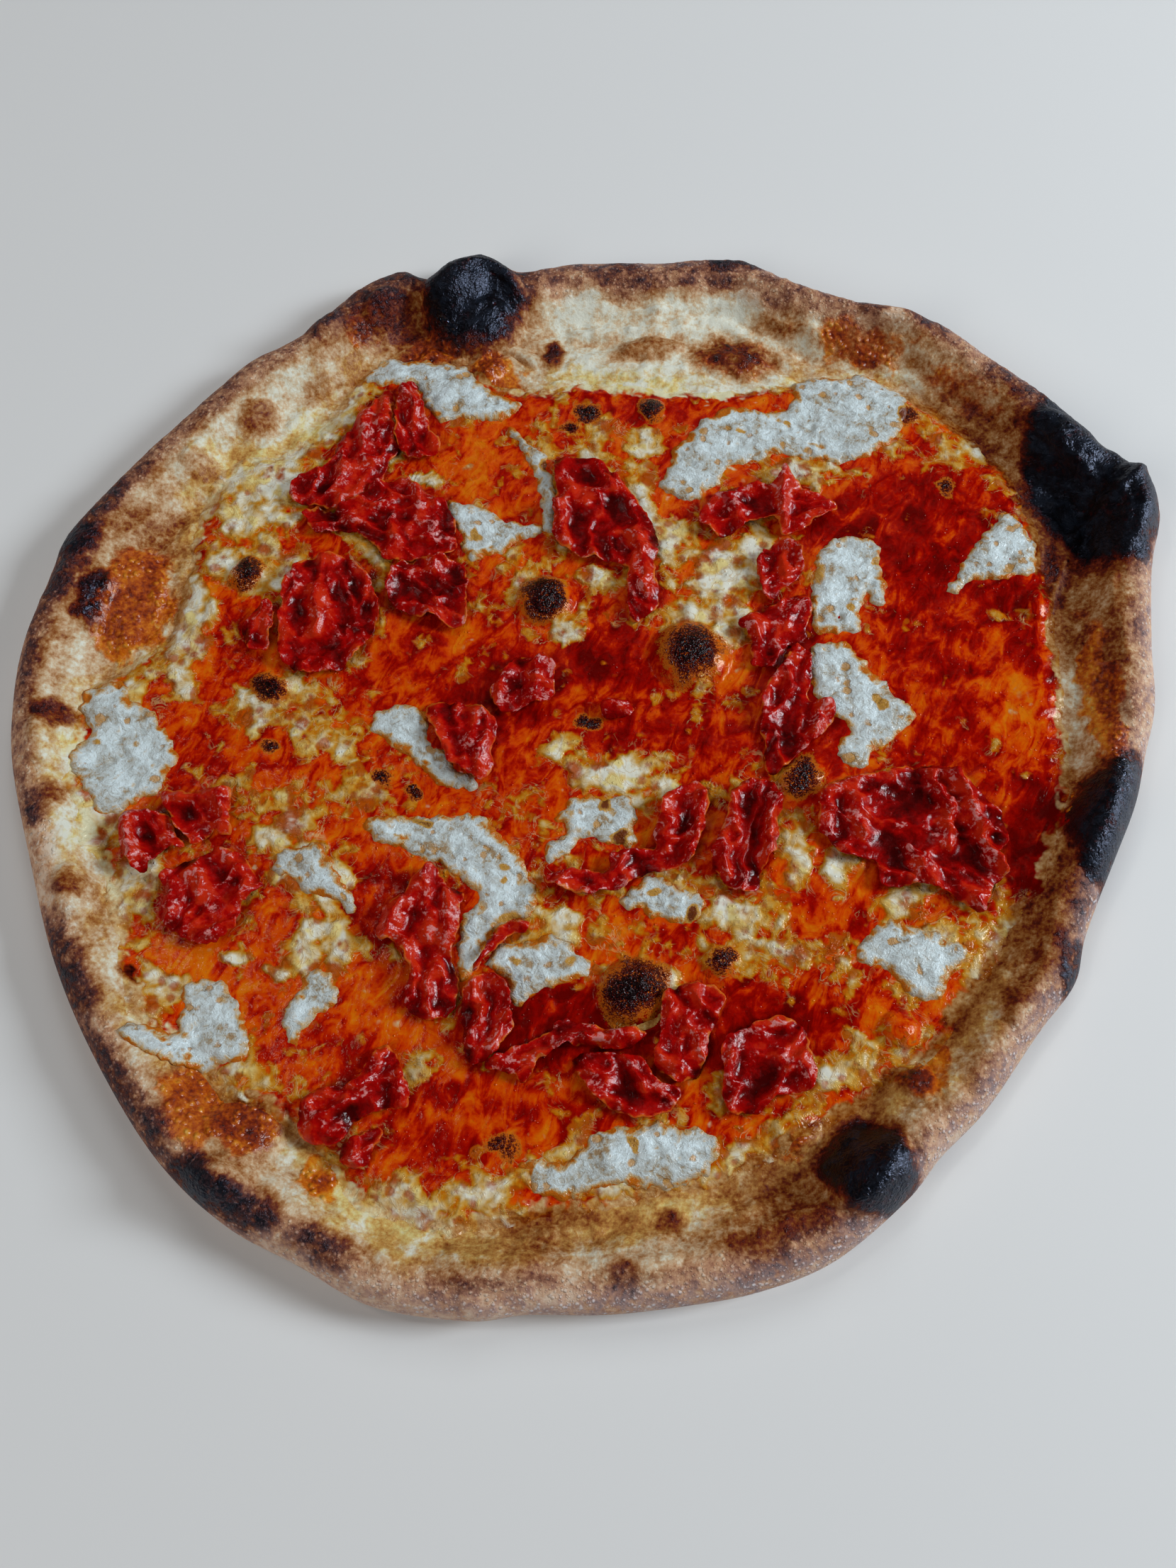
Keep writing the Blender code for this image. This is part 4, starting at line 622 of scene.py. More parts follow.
def slab(name, plan, triangles, low, high, fields, look, node, bulge):
    """Closed piece between two heights over one plan, with a wall that bulges out a little all round."""
    count = len(plan)
    sides = boundary_sides(triangles)
    rim = np.unique(sides)
    outward = np.zeros((count, 2))
    along = plan[sides[:, 1]] - plan[sides[:, 0]]
    for end in (0, 1):
        np.add.at(outward, sides[:, end], np.column_stack([along[:, 1], -along[:, 0]]))
    outward = outward[rim] / np.maximum(np.linalg.norm(outward[rim], axis=1), 1e-6)[:, None]
    middle = np.column_stack([plan[rim] + outward * bulge, 0.5 * (low[rim] + high[rim])])
    belly = np.zeros(count, int)
    belly[rim] = 2 * count + np.arange(len(rim))
    a, b = sides[:, 0], sides[:, 1]
    upper = ((belly[a], belly[b], b), (belly[a], b, a))
    lower = ((count + a, count + b, belly[b]), (count + a, belly[b], belly[a]))
    walls = [np.column_stack(corners) for corners in upper + lower]
    vertices = np.vstack([np.column_stack([plan, high]), np.column_stack([plan, low]), middle])
    fields = {field: np.concatenate([values, values, values[rim]]) for field, values in fields.items()}
    triangles = np.vstack([triangles, triangles[:, ::-1] + count] + walls)
    add_piece(name, vertices, triangles, fields, look, node)


# ---------------------------------------------------------------- shape of the dough
def polar(points, centre=(0.0, 0.0)):
    """Angle of each point from +X in degrees, and its distance from the centre."""
    x, y = points[:, 0] - centre[0], points[:, 1] - centre[1]
    return np.degrees(np.arctan2(y, x)) % 360.0, np.hypot(x, y)


def from_polar(angles, radii):
    return np.column_stack([radii * np.cos(np.radians(angles)), radii * np.sin(np.radians(angles))])


EDGE_POLAR = polar(smooth_loop(CRUST_EDGE, 720))
SAUCE_POLAR = polar(smooth_loop(SAUCE_EDGE, 720), SAUCE_CENTRE)


def edge_radius(angles):
    """Distance from the middle of the pizza to its outer edge."""
    return np.interp(angles, *EDGE_POLAR, period=360.0)


def rim_place(points):
    """Angle of each point, and how far in from the outer edge it lies."""
    angles, radii = polar(points)
    return angles, edge_radius(angles) - radii


def sauce_radius(angles):
    """Distance from the middle of the sauce to its uneven edge."""
    radius = np.interp(angles, *SAUCE_POLAR, period=360.0)
    rim = from_polar(angles, radius)
    for i, (length, height) in enumerate(SAUCE_WAVES):
        radius = radius + height * gradient_noise(rim, length, 3 + i)
    return radius + SAUCE_SPREAD


def sauce_depth(points):
    """How far inside the edge of the sauce each point lies; negative outside it."""
    angles, radii = polar(points, SAUCE_CENTRE)
    return sauce_radius(angles) - radii


def station_value(stations, angles, column=1):
    """A column of a table of stations round the rim, between its stations too."""
    table = np.array(stations, float)
    return np.interp(angles, table[:, 0], table[:, column], period=360.0)


def ellipse_reach(points, spot):
    """Distance of each point from a spot's centre, where 1 is the spot's edge."""
    turn = math.radians(spot.turn)
    x, y = points[:, 0] - spot.x, points[:, 1] - spot.y
    across = (x * math.cos(turn) + y * math.sin(turn)) / spot.long
    along = (-x * math.sin(turn) + y * math.cos(turn)) / spot.wide
    return np.hypot(across, along)


def bubble_rise(points, bubble):
    """Height that a gas bubble adds: a dome with a rounded foot."""
    inner = np.clip(1.0 - ellipse_reach(points, bubble) ** 2, 0.0, 1.0)
    return bubble.amount * (0.55 * np.sqrt(inner) + 0.45 * inner)


def fold_height(points, fold):
    """Height that a fold adds: a ridge with a bell-shaped section."""
    start = np.array((fold.x0, fold.y0), float)
    side = np.array((fold.x1, fold.y1), float) - start
    share = np.clip(((points - start) @ side) / (side @ side), 0.0, 1.0)
    away = np.linalg.norm(points - start - share[:, None] * side, axis=1)
    return fold.height * np.exp(-((away / fold.width) ** 2))


def lumps(points, length):
    """Very soft swellings, the same as in the solids."""
    return np.array([noise.noise(Vector((x / length, y / length, 3.7))) for x, y in points.tolist()])


def dough_top(points):
    """Height of the dough's upper face: flat dish, raised rim and gas bubbles."""
    angles, inset = rim_place(points)
    inset = np.maximum(inset, 0.0)
    crest, slope = station_value(RIM_STATIONS, angles, 1), station_value(RIM_STATIONS, angles, 2)
    outer = np.sqrt(np.clip(1.0 - (1.0 - inset / CREST_INSET) ** 2, 0.0, 1.0))
    fall = np.clip((inset - CREST_INSET) / (slope - CREST_INSET), 0.0, 1.0)
    inner = 0.5 + 0.5 * np.cos(math.pi * fall)
    height = np.where(inset < CREST_INSET, WAIST + (crest - WAIST) * outer, FLOOR + (crest - FLOOR) * inner)
    away_from_edge = np.clip(inset / CREST_INSET, 0.0, 1.0)
    height += LUMPS * lumps(points, LUMP_LENGTH) * away_from_edge
    for bubble in RIM_BUBBLES + DISH_BUBBLES:
        height += bubble_rise(points, bubble) * np.sqrt(away_from_edge)
    return height


def warped(points, length, reach, seed):
    """The points pushed about by noise, so that what is drawn from them has an uneven edge."""
    push = [fractal_noise(points, length, 3, seed + way) for way in (0, 50)]
    return points + reach * np.column_stack(push)


def scorch_field(points, scorches, softness, limit=0.6):
    """How far heat has browned each point; the edges of its spots are soft, up to a limit."""
    depth = np.zeros(len(points))
    near = warped(points, 9.0, 2.2, 61)
    for scorch in scorches:
        size = math.sqrt(scorch.long * scorch.wide)
        soft = min(softness / size, limit)
        reach = ellipse_reach(near, scorch)
        depth = np.maximum(depth, scorch.amount * (1 - ease_in(reach, 1.0 - soft, 1.0 + soft)))
    return depth


def pool_field(points, pools):
    """The largest amount that any pool gives at each point."""
    amount = np.zeros(len(points))
    near = warped(points, 11.0, 3.2, 71)
    for pool in pools:
        amount = np.maximum(amount, pool.amount * (1 - ease_in(ellipse_reach(near, pool), 0.55, 1.3)))
    return amount


def pulled_dough(points):
    """Ridges along the inside of the rim, where the dough was stretched round it."""
    angles, inset = rim_place(points)
    stretched = np.column_stack([np.radians(angles) * RIDGE_CIRCLE, 6.0 * inset])
    return ease_in(inset, 9.0, 15.0) * fractal_noise(stretched, 27.0, 3, 25)


def rim_relief(points):
    """Fine unevenness of the bare dough: swellings, small blisters and pulled ridges."""
    on_rim = np.clip(rim_place(points)[1] / 3.0, 0.0, 1.0)
    relief = SWELLING * fractal_noise(points, 11.0, 3, 21) + PULLED_RIDGE * pulled_dough(points)
    relief += LARGE_BLISTER * scattered_domes(points, 7.5, 0.4, 31)
    relief += SMALL_BLISTER * scattered_domes(points, 3.1, 0.45, 41)
    near = warped(points, 14.0, 1.6, 81)
    for ridge in DOUGH_RIDGES:
        relief += fold_height(near, ridge)
    return relief * on_rim * (1 - ease_in(sauce_depth(points), 0.0, 9.0))


def rim_bake(points):
    """How brown the bare dough is, from 0 for pale to 1 for black, with painted highlight along its pulled
    ridges.
    """
    angles, inset = rim_place(points)
    outer, inner = station_value(RIM_BROWNING, angles, 1), station_value(RIM_BROWNING, angles, 2)
    dry = station_value(DRY_BAND, angles)
    inward = ease_in(inset + 3.0 * fractal_noise(points, 16.0, 2, 91), dry - 2.0, dry + 6.0)
    bake = outer + (inner - outer) * inward
    bake *= 0.62 + 0.38 * ease_in(inset, 0.0, 4.0)
    bake += 0.11 * fractal_noise(points, 15.0, 3, 92) + 0.05 * gradient_noise(points, 4.0, 93)
    # Painted highlight and shade: the dough is made paler along the pulled ridges and browner in the furrows
    # between them.
    bake -= 0.13 * pulled_dough(points)
    return np.maximum(bake, scorch_field(points, RIM_SCORCHES, 6.5))


# ---------------------------------------------------------------- node helpers
class Look:
    """One procedural material, with short calls that add nodes and link them."""

    def __init__(self, name):
        self.material = bpy.data.materials.new(name)
        self.material.use_nodes = True
        self.tree = self.material.node_tree
        self.shader = self.tree.nodes["Principled BSDF"]
        self.place = self.add("ShaderNodeTexCoord").outputs["Object"]

    def add(self, kind, **settings):
        node = self.tree.nodes.new(kind)
        for setting, value in settings.items():
            setattr(node, setting, value)
        return node

    def feed(self, socket, value):
        if isinstance(value, bpy.types.NodeSocket):
            self.tree.links.new(value, socket)
        else:
            socket.default_value = value

    def field(self, name):
        """A value that the mesh carries at each vertex."""
        return self.add("ShaderNodeAttribute", attribute_name=name).outputs["Fac"]

    def noise(self, size, detail=3.0, rough=0.55, warp=0.0, stretch=None, turn=0.0):
        """Noise from 0 to 1 whose patches measure about the given size in millimetres."""
        place = self.place
        if stretch:
            mapping = self.add("ShaderNodeMapping", vector_type="TEXTURE")
            self.feed(mapping.inputs["Vector"], place)
            self.feed(mapping.inputs["Rotation"], (0.0, 0.0, math.radians(turn)))
            self.feed(mapping.inputs["Scale"], (*stretch, 1.0))
            place = mapping.outputs["Vector"]
        node = self.add("ShaderNodeTexNoise")
        for socket, value in (("Vector", place), ("Scale", 1 / (size * MM)), ("Detail", detail),
                              ("Roughness", rough), ("Distortion", warp)):
            self.feed(node.inputs[socket], value)
        return node.outputs["Fac"]

    def cells(self, size):
        """Distance to the middle of the nearest of many small cells of the given size in millimetres."""
        node = self.add("ShaderNodeTexVoronoi")
        self.feed(node.inputs["Vector"], self.place)
        self.feed(node.inputs["Scale"], 1 / (size * MM))
        return node.outputs["Distance"]

    def math(self, operation, first, second=0.0, third=0.0):
        node = self.add("ShaderNodeMath", operation=operation)
        for socket, value in zip(node.inputs, (first, second, third)):
            self.feed(socket, value)
        return node.outputs[0]

    def around(self, value, amount):
        """A value from 0 to 1 turned into one that swings by the amount about 0."""
        return self.scaled(value, 2 * amount, -amount)

    def scaled(self, value, factor, offset):
        return self.math("MULTIPLY_ADD", value, factor, offset)

    def total(self, *values):
        return functools.reduce(functools.partial(self.math, "ADD"), values)

    def times(self, *values):
        return functools.reduce(functools.partial(self.math, "MULTIPLY"), values)

    def weighted(self, *pairs):
        """The sum of values, each with its own weight."""
        return self.total(*(self.times(value, weight) for value, weight in pairs))

    def uneven(self, value, *swings):
        """A value made uneven by noises, each with the amount by which it swings it."""
        return self.total(value, *(self.around(source, amount) for source, amount in swings))

    def step(self, value, low, high):
        """Smooth step from 0 at the low value to 1 at the high one."""
        node = self.add("ShaderNodeMapRange", interpolation_type="SMOOTHSTEP")
        for socket, number in (("Value", value), ("From Min", low), ("From Max", high)):
            self.feed(node.inputs[socket], number)
        return node.outputs["Result"]

    def ramp(self, value, stops):
        """Colour from a list of (place, (red, green, blue))."""
        node = self.add("ShaderNodeValToRGB")
        self.feed(node.inputs["Fac"], value)
        elements = node.color_ramp.elements
        while len(elements) < len(stops):
            elements.new(1.0)
        for element, (place, colour) in zip(elements, stops):
            element.position = place
            element.color = (*colour, 1.0)
        return node.outputs["Color"]

    def mix(self, share, first, second, blend="MIX"):
        """Blend of two colours."""
        node = self.add("ShaderNodeMix", data_type="RGBA", blend_type=blend)
        share_socket, first_socket, second_socket = node.inputs[0], node.inputs[6], node.inputs[7]
        self.feed(share_socket, share)
        for socket, value in ((first_socket, first), (second_socket, second)):
            self.feed(socket, value if isinstance(value, bpy.types.NodeSocket) else (*value, 1.0))
        return node.outputs[2]

    def tint(self, share, colour, tint):
        """The colour with part of its light taken away."""
        return self.mix(share, colour, tint, "MULTIPLY")

    def bump(self, height, depth):
        """Relief of the given depth in millimetres where the height goes from 0 to 1."""
        node = self.add("ShaderNodeBump")
        self.feed(node.inputs["Height"], height)
        self.feed(node.inputs["Distance"], depth * MM)
        self.feed(node.inputs["Strength"], 1.0)
        self.feed(self.shader.inputs["Normal"], node.outputs["Normal"])

    def finish(self, **sockets):
        """Sets the shader's own inputs, named with _ for a space."""
        for name, value in sockets.items():
            self.feed(self.shader.inputs[name.replace("_", " ")], value)
        return self.material


# Colours from raw to black, as (browning, (red, green, blue)) in linear light.
CHAR = (0.0016, 0.0010, 0.0012)
OUTER_DOUGH = (
    (0.0, (0.74, 0.56, 0.42)), (0.18, (0.64, 0.40, 0.25)), (0.30, (0.50, 0.25, 0.13)),
    (0.42, (0.34, 0.145, 0.078)), (0.52, (0.20, 0.062, 0.025)), (0.62, (0.10, 0.020, 0.010)),
    (0.72, (0.048, 0.006, 0.005)), (0.84, (0.014, 0.003, 0.003)), (0.95, CHAR),
)
INNER_DOUGH = (
    (0.0, (0.74, 0.74, 0.63)), (0.10, (0.68, 0.60, 0.44)), (0.20, (0.61, 0.44, 0.27)),
    (0.30, (0.50, 0.29, 0.145)), (0.40, (0.37, 0.165, 0.055)), (0.50, (0.25, 0.070, 0.010)),
    (0.60, (0.14, 0.015, 0.004)), (0.74, (0.045, 0.003, 0.002)), (0.90, CHAR),
)
GOLDEN_DOUGH = (
    (0.0, (0.72, 0.46, 0.13)), (0.16, (0.68, 0.27, 0.025)), (0.34, (0.56, 0.14, 0.008)),
    (0.48, (0.36, 0.055, 0.004)), (0.62, (0.16, 0.014, 0.003)), (0.80, (0.03, 0.003, 0.002)), (0.92, CHAR),
)
# A blue-grey tint for the blackest char: painted sheen of the cool window light.
PAINTED_CHAR_SHEEN = (0.006, 0.008, 0.013)
# Pale flour, also used as painted rim light on the outer edge.
FLOUR_AND_RIM_LIGHT = (0.74, 0.68, 0.71)
OIL_TINT = (1.0, 0.86, 0.42)
# Tints of the shine.
DOUGH_SHEEN = (1.0, 0.94, 0.88)
CHAR_SHEEN = (0.62, 0.70, 1.0)


def dough_look():
    look = Look("baked_dough")
    broad, middle = look.noise(10.0, 4.0, 0.6, 0.4), look.noise(3.4, 4.0, 0.6, 0.4)
    fine, grain = look.noise(1.3, 3.0, 0.6), look.noise(0.5, 2.0)
    inner = look.field("inner")
    outer = look.scaled(inner, -0.9, 1.0)
    small_pimples = look.step(look.cells(0.95), 0.36, 0.06)
    pimples = look.step(look.uneven(look.cells(1.7), (fine, 0.25)), 0.40, 0.08)
    pimples = look.total(pimples, look.times(small_pimples, 0.6))
    pebbles = look.step(look.uneven(look.cells(2.4), (fine, 0.15)), 0.55, 0.05)

    bake = look.uneven(look.field("bake"), (broad, 0.26), (middle, 0.20), (fine, 0.30))
    # Painted highlight: the tips of the outer pimples are made paler.
    bake = look.total(bake, look.times(look.around(middle, 0.30), outer), look.times(pimples, outer, -0.14))
    colour = look.mix(inner, look.ramp(bake, OUTER_DOUGH), look.ramp(bake, INNER_DOUGH))
    golden = look.step(look.uneven(look.field("golden"), (broad, 0.5), (middle, 0.4)), 0.30, 0.70)
    # Painted highlight: the tips of the pebbles on golden dough are made paler.
    pebble_tips_lit = look.total(bake, look.times(pebbles, -0.16), 0.06)
    colour = look.mix(golden, colour, look.ramp(pebble_tips_lit, GOLDEN_DOUGH))

    # Flour on the outer rim, with painted rim light on its right and near edges and painted highlights on the
    # pimple tips.
    dust_and_rim_light = look.total(look.field("flour_and_rim_light"), look.times(outer, 0.14))
    unburnt = look.scaled(look.step(bake, 0.95, 0.60), 0.9, 0.1)
    dusted_and_rim_lit = look.times(look.scaled(pimples, 0.62, 0.26), dust_and_rim_light, unburnt, look.step(middle, 0.25, 0.60))
    colour = look.mix(dusted_and_rim_lit, colour, FLOUR_AND_RIM_LIGHT)
    # Painted sheen: the blackest char is tinted blue-grey.
    char_sheen_share = look.times(look.step(bake, 0.88, 1.05), look.step(middle, 0.40, 0.62))
    colour = look.mix(char_sheen_share, colour, PAINTED_CHAR_SHEEN)
    oiled = look.step(look.uneven(look.field("oil"), (broad, 0.8), (middle, 0.5)), 0.25, 0.75)
    oiled = look.times(oiled, look.step(bake, 0.6, 0.3))
    colour = look.tint(oiled, colour, OIL_TINT)

    charred = look.step(bake, 0.62, 0.85)
    wrinkles = look.total(look.noise(2.6, 3.0, 0.55, 1.6), look.times(fine, 0.3))
    look.bump(look.total(look.times(pimples, outer, 0.60), look.times(pebbles, golden),
                         look.times(wrinkles, charred, 0.9),
                         look.weighted((middle, 0.4), (fine, 0.35), (grain, 0.10))), 0.6)
    smooth = look.weighted((charred, -0.16), (inner, -0.14), (oiled, -0.14), (golden, -0.18))
    shine = look.weighted((charred, 0.45), (golden, 0.25))
    return look.finish(Base_Color=colour, Roughness=look.total(smooth, 0.62),
                       Specular_IOR_Level=look.total(shine, 0.20),
                       Specular_Tint=look.mix(charred, DOUGH_SHEEN, CHAR_SHEEN))


# From oily orange to deep red.
BARE_SAUCE = (
    (0.0, (0.68, 0.16, 0.003)), (0.22, (0.65, 0.078, 0.0008)), (0.36, (0.58, 0.042, 0.0004)),
    (0.46, (0.48, 0.014, 0.0003)), (0.58, (0.35, 0.003, 0.0002)), (0.76, (0.24, 0.001, 0.0002)),
    (1.0, (0.12, 0.0005, 0.0002)),
)
# From sauce through a thin film of cheese to a thick pool of it.
MELTED_CHEESE = (
    (0.32, (0.48, 0.040, 0.001)), (0.42, (0.49, 0.100, 0.001)), (0.52, (0.52, 0.19, 0.007)),
    (0.62, (0.56, 0.30, 0.052)), (0.72, (0.61, 0.43, 0.20)), (0.83, (0.68, 0.58, 0.39)),
    (0.98, (0.76, 0.75, 0.64)),
)
BROWNED_CHEESE = (
    (0.12, (0.64, 0.27, 0.020)), (0.26, (0.54, 0.15, 0.008)), (0.40, (0.34, 0.055, 0.008)),
    (0.54, (0.17, 0.012, 0.006)), (0.70, (0.050, 0.002, 0.002)), (0.88, (0.004, 0.0005, 0.0006)),
)
# From the middle of a small disc of oil to its edge, and the discs: (size, share).
OIL_BLISTER = (
    (0.0, (0.40, 0.060, 0.002)), (0.14, (0.36, 0.050, 0.002)), (0.26, (0.29, 0.045, 0.002)),
    (0.40, (0.50, 0.15, 0.005)),
)
OIL_DISCS = ((7.5, 0.90), (4.2, 0.75))
CHEESE_THREAD = (0.64, 0.42, 0.17)
AMBER_TINT = (1.0, 0.80, 0.30)
SAUCE_SHEEN = (1.0, 0.84, 0.66)
BURNT_SHEEN = (1.0, 0.94, 0.96)


def sauce_look():
    look = Look("sauce_and_melted_cheese")
    broad, middle = look.noise(9.0, 2.0, 0.5, 0.3), look.noise(3.4, 1.5, 0.5, 0.3)
    fine, grain = look.noise(1.1, 2.0, 0.5), look.noise(0.45, 1.0)
    wisps = look.noise(5.0, 5.0, 0.6, 1.2, stretch=(1.9, 1.0), turn=65.0)
    cheese = look.uneven(look.field("cheese"), (broad, 0.95), (middle, 0.45), (fine, 0.07))
    red = look.uneven(look.field("red"), (wisps, 0.82), (broad, 0.6), (fine, 0.16))
    sauce = look.ramp(red, BARE_SAUCE)
    colour = look.mix(look.step(cheese, 0.30, 0.50), sauce, look.ramp(cheese, MELTED_CHEESE))

    strands = look.math("ABSOLUTE", look.around(look.noise(5.5, 3.0, 0.6, 1.0), 1.0))
    near_cheese = look.step(look.uneven(look.field("cheese"), (broad, 0.8)), 0.20, 0.42)
    threads = look.times(look.step(strands, 0.07, 0.0), near_cheese)
    colour = look.mix(look.times(threads, 0.50), colour, CHEESE_THREAD)
    raised = look.scaled(threads, 0.15, look.step(cheese, 0.25, 1.0))
    for size, share in OIL_DISCS:
        cells = look.uneven(look.cells(size), (look.noise(1.8 * size, 1.0), 0.75), (fine, 0.12))
        in_cheese = look.times(look.step(cheese, 0.34, 0.50), look.step(cheese, 1.25, 0.80))
        disc = look.times(look.step(cells, 0.40, 0.08), in_cheese)
        colour = look.mix(look.times(disc, share), colour, look.ramp(cells, OIL_BLISTER))
        raised = look.scaled(disc, -0.25, raised)

    inside = look.uneven(look.field("inside"), (middle, 0.7), (broad, 0.9))
    inside = look.scaled(look.field("red"), 0.55, inside)
    patches = look.noise(10.0, 4.0, 0.6, 0.4)
    dough = look.uneven(look.field("dough"), (patches, 0.26), (middle, 0.2), (fine, 0.2))
    bare_dough = look.tint(0.5, look.ramp(dough, INNER_DOUGH), OIL_TINT)
    colour = look.mix(look.step(inside, 0.75, 0.40), colour, bare_dough)
    amber = look.step(look.uneven(look.around(middle, 0.5), (look.noise(6.5, 1.0), 0.9)), 0.02, 0.30)
    colour = look.tint(look.times(amber, 0.85), colour, AMBER_TINT)

    heat = look.field("bake")
    speckle = look.total(look.around(fine, 0.8), look.around(grain, 1.0))
    bake = look.total(look.uneven(heat, (middle, 0.16)), look.times(heat, speckle))
    colour = look.mix(look.step(bake, 0.12, 0.34), colour, look.ramp(bake, BROWNED_CHEESE))
    burnt = look.step(bake, 0.35, 0.70)
    beads = look.times(look.step(look.cells(1.4), 0.34, 0.02), look.step(middle, 0.45, 0.65))
    look.bump(look.total(look.weighted((raised, 0.6), (middle, 0.45), (wisps, 0.25), (fine, 0.10),
                                       (beads, 0.30), (grain, 0.03)),
                         look.times(burnt, look.scaled(grain, 0.5, fine))), 0.8)
    return look.finish(Base_Color=colour, Roughness=look.scaled(middle, 0.20, 0.06),
                       Specular_IOR_Level=look.scaled(burnt, 0.25, 0.23),
                       Specular_Tint=look.mix(burnt, SAUCE_SHEEN, BURNT_SHEEN))


# From the darker, yellower curds of the mozzarella to its whitest ones, spread by noise; the blue cast of the
# cool window light is painted into them.
MILK_IN_BLUE_LIGHT = (
    (0.20, (0.36, 0.24, 0.13)), (0.32, (0.43, 0.39, 0.31)), (0.42, (0.50, 0.52, 0.49)),
    (0.54, (0.56, 0.61, 0.61)), (0.66, (0.62, 0.70, 0.71)), (0.80, (0.71, 0.81, 0.84)),
)
THIN_CHEESE = (0.52, 0.33, 0.13)
SAUCE_THROUGH_CHEESE = (0.50, 0.13, 0.006)
PORE = (0.55, 0.27, 0.06)
TOASTED_CHEESE = (0.52, 0.27, 0.05)
SCORCHED_CHEESE = (0.15, 0.032, 0.006)


def mozzarella_look():
    look = Look("mozzarella")
    broad, middle = look.noise(7.0, 2.0, 0.5, 0.4), look.noise(2.4, 2.0, 0.5, 0.8)
    fine, grain = look.noise(1.1, 2.0, 0.55, 1.2), look.noise(0.4, 1.0)
    # The curds, with the blue cast of the window light painted in.
    colour = look.ramp(look.uneven(0.56, (broad, 0.75), (middle, 0.45), (fine, 0.28)), MILK_IN_BLUE_LIGHT)
    thin = look.uneven(look.field("thin"), (middle, 0.55), (fine, 0.20), (broad, 1.1))
    colour = look.mix(look.step(thin, 0.46, 0.90), colour, THIN_CHEESE)
    colour = look.mix(look.step(thin, 0.84, 1.06), colour, SAUCE_THROUGH_CHEESE)
    pores = look.step(look.uneven(look.cells(5.2), (fine, 0.10), (broad, 0.55)), 0.24, 0.10)
    colour = look.mix(look.times(pores, 0.80), colour, PORE)
    bake = look.uneven(look.field("bake"), (fine, 0.16))
    colour = look.mix(look.step(bake, 0.10, 0.30), colour, TOASTED_CHEESE)
    colour = look.mix(look.step(bake, 0.34, 0.60), colour, SCORCHED_CHEESE)
    look.bump(look.weighted((middle, 0.8), (fine, 0.5), (grain, 0.08), (pores, -0.4)), 0.7)
    return look.finish(Base_Color=colour, Roughness=look.scaled(fine, 0.20, 0.14), Specular_IOR_Level=0.4)


# From the hollows of a slice, in painted shade, to the meat on its crests, in painted light.
MEAT_SHADED_TO_LIT = (
    (0.26, (0.05, 0.0002, 0.0002)), (0.38, (0.14, 0.0003, 0.0003)), (0.48, (0.25, 0.0005, 0.0004)),
    (0.60, (0.40, 0.002, 0.001)), (0.74, (0.56, 0.022, 0.004)),
)
# Fat, also used for painted sheen on the crests of the folds.
FAT_AND_SHEEN = (0.68, 0.26, 0.25)
# Crisped edge, also used for painted rim light along it.
CRISP_EDGE_AND_RIM_LIGHT = (0.64, 0.15, 0.014)
# Painted shade for the valleys between folds.
PAINTED_VALLEY_SHADE = (0.05, 0.0008, 0.0006)


def soppressata_look():
    look = Look("soppressata")
    broad, middle = look.noise(7.0, 2.0, 0.5, 0.5), look.noise(2.4, 2.0, 0.5, 0.6)
    fine, grain = look.noise(0.8, 2.0), look.noise(0.35, 1.0)
    crest = look.field("crest")
    # Painted light and shade: the meat is lighter on the crests of the folds and darker below them.
    meat_light = look.uneven(look.scaled(crest, 0.32, 0.34), (broad, 0.40), (middle, 0.16), (fine, 0.10))
    veins = look.noise(4.2, 4.0, 0.65, 1.0)
    # Fat flecks, with painted sheen where the marbling gathers on the crests.
    marbling_and_sheen = look.uneven(look.scaled(crest, 0.34, 0.24), (middle, 0.45), (veins, 0.9), (fine, 0.35))
    fat_and_sheen = look.times(look.step(marbling_and_sheen, 0.66, 0.94), 0.85)
    colour = look.mix(fat_and_sheen, look.ramp(meat_light, MEAT_SHADED_TO_LIT), FAT_AND_SHEEN)
    # Crisped orange edges, partly painted rim light along them.
    edge = look.uneven(look.field("edge"), (middle, 0.6), (broad, 1.0))
    colour = look.mix(look.times(look.step(edge, 0.90, 1.35), 0.8), colour, CRISP_EDGE_AND_RIM_LIGHT)
    # Painted shade: the low places between the folds are darkened.
    shaded = look.times(look.step(look.field("valley"), 0.10, 1.0), 0.85)
    colour = look.mix(shaded, colour, PAINTED_VALLEY_SHADE)
    look.bump(look.weighted((middle, 0.24), (fine, 0.18), (grain, 0.08)), 0.6)
    return look.finish(Base_Color=colour, Roughness=look.scaled(middle, 0.22, 0.10), Specular_IOR_Level=0.28)


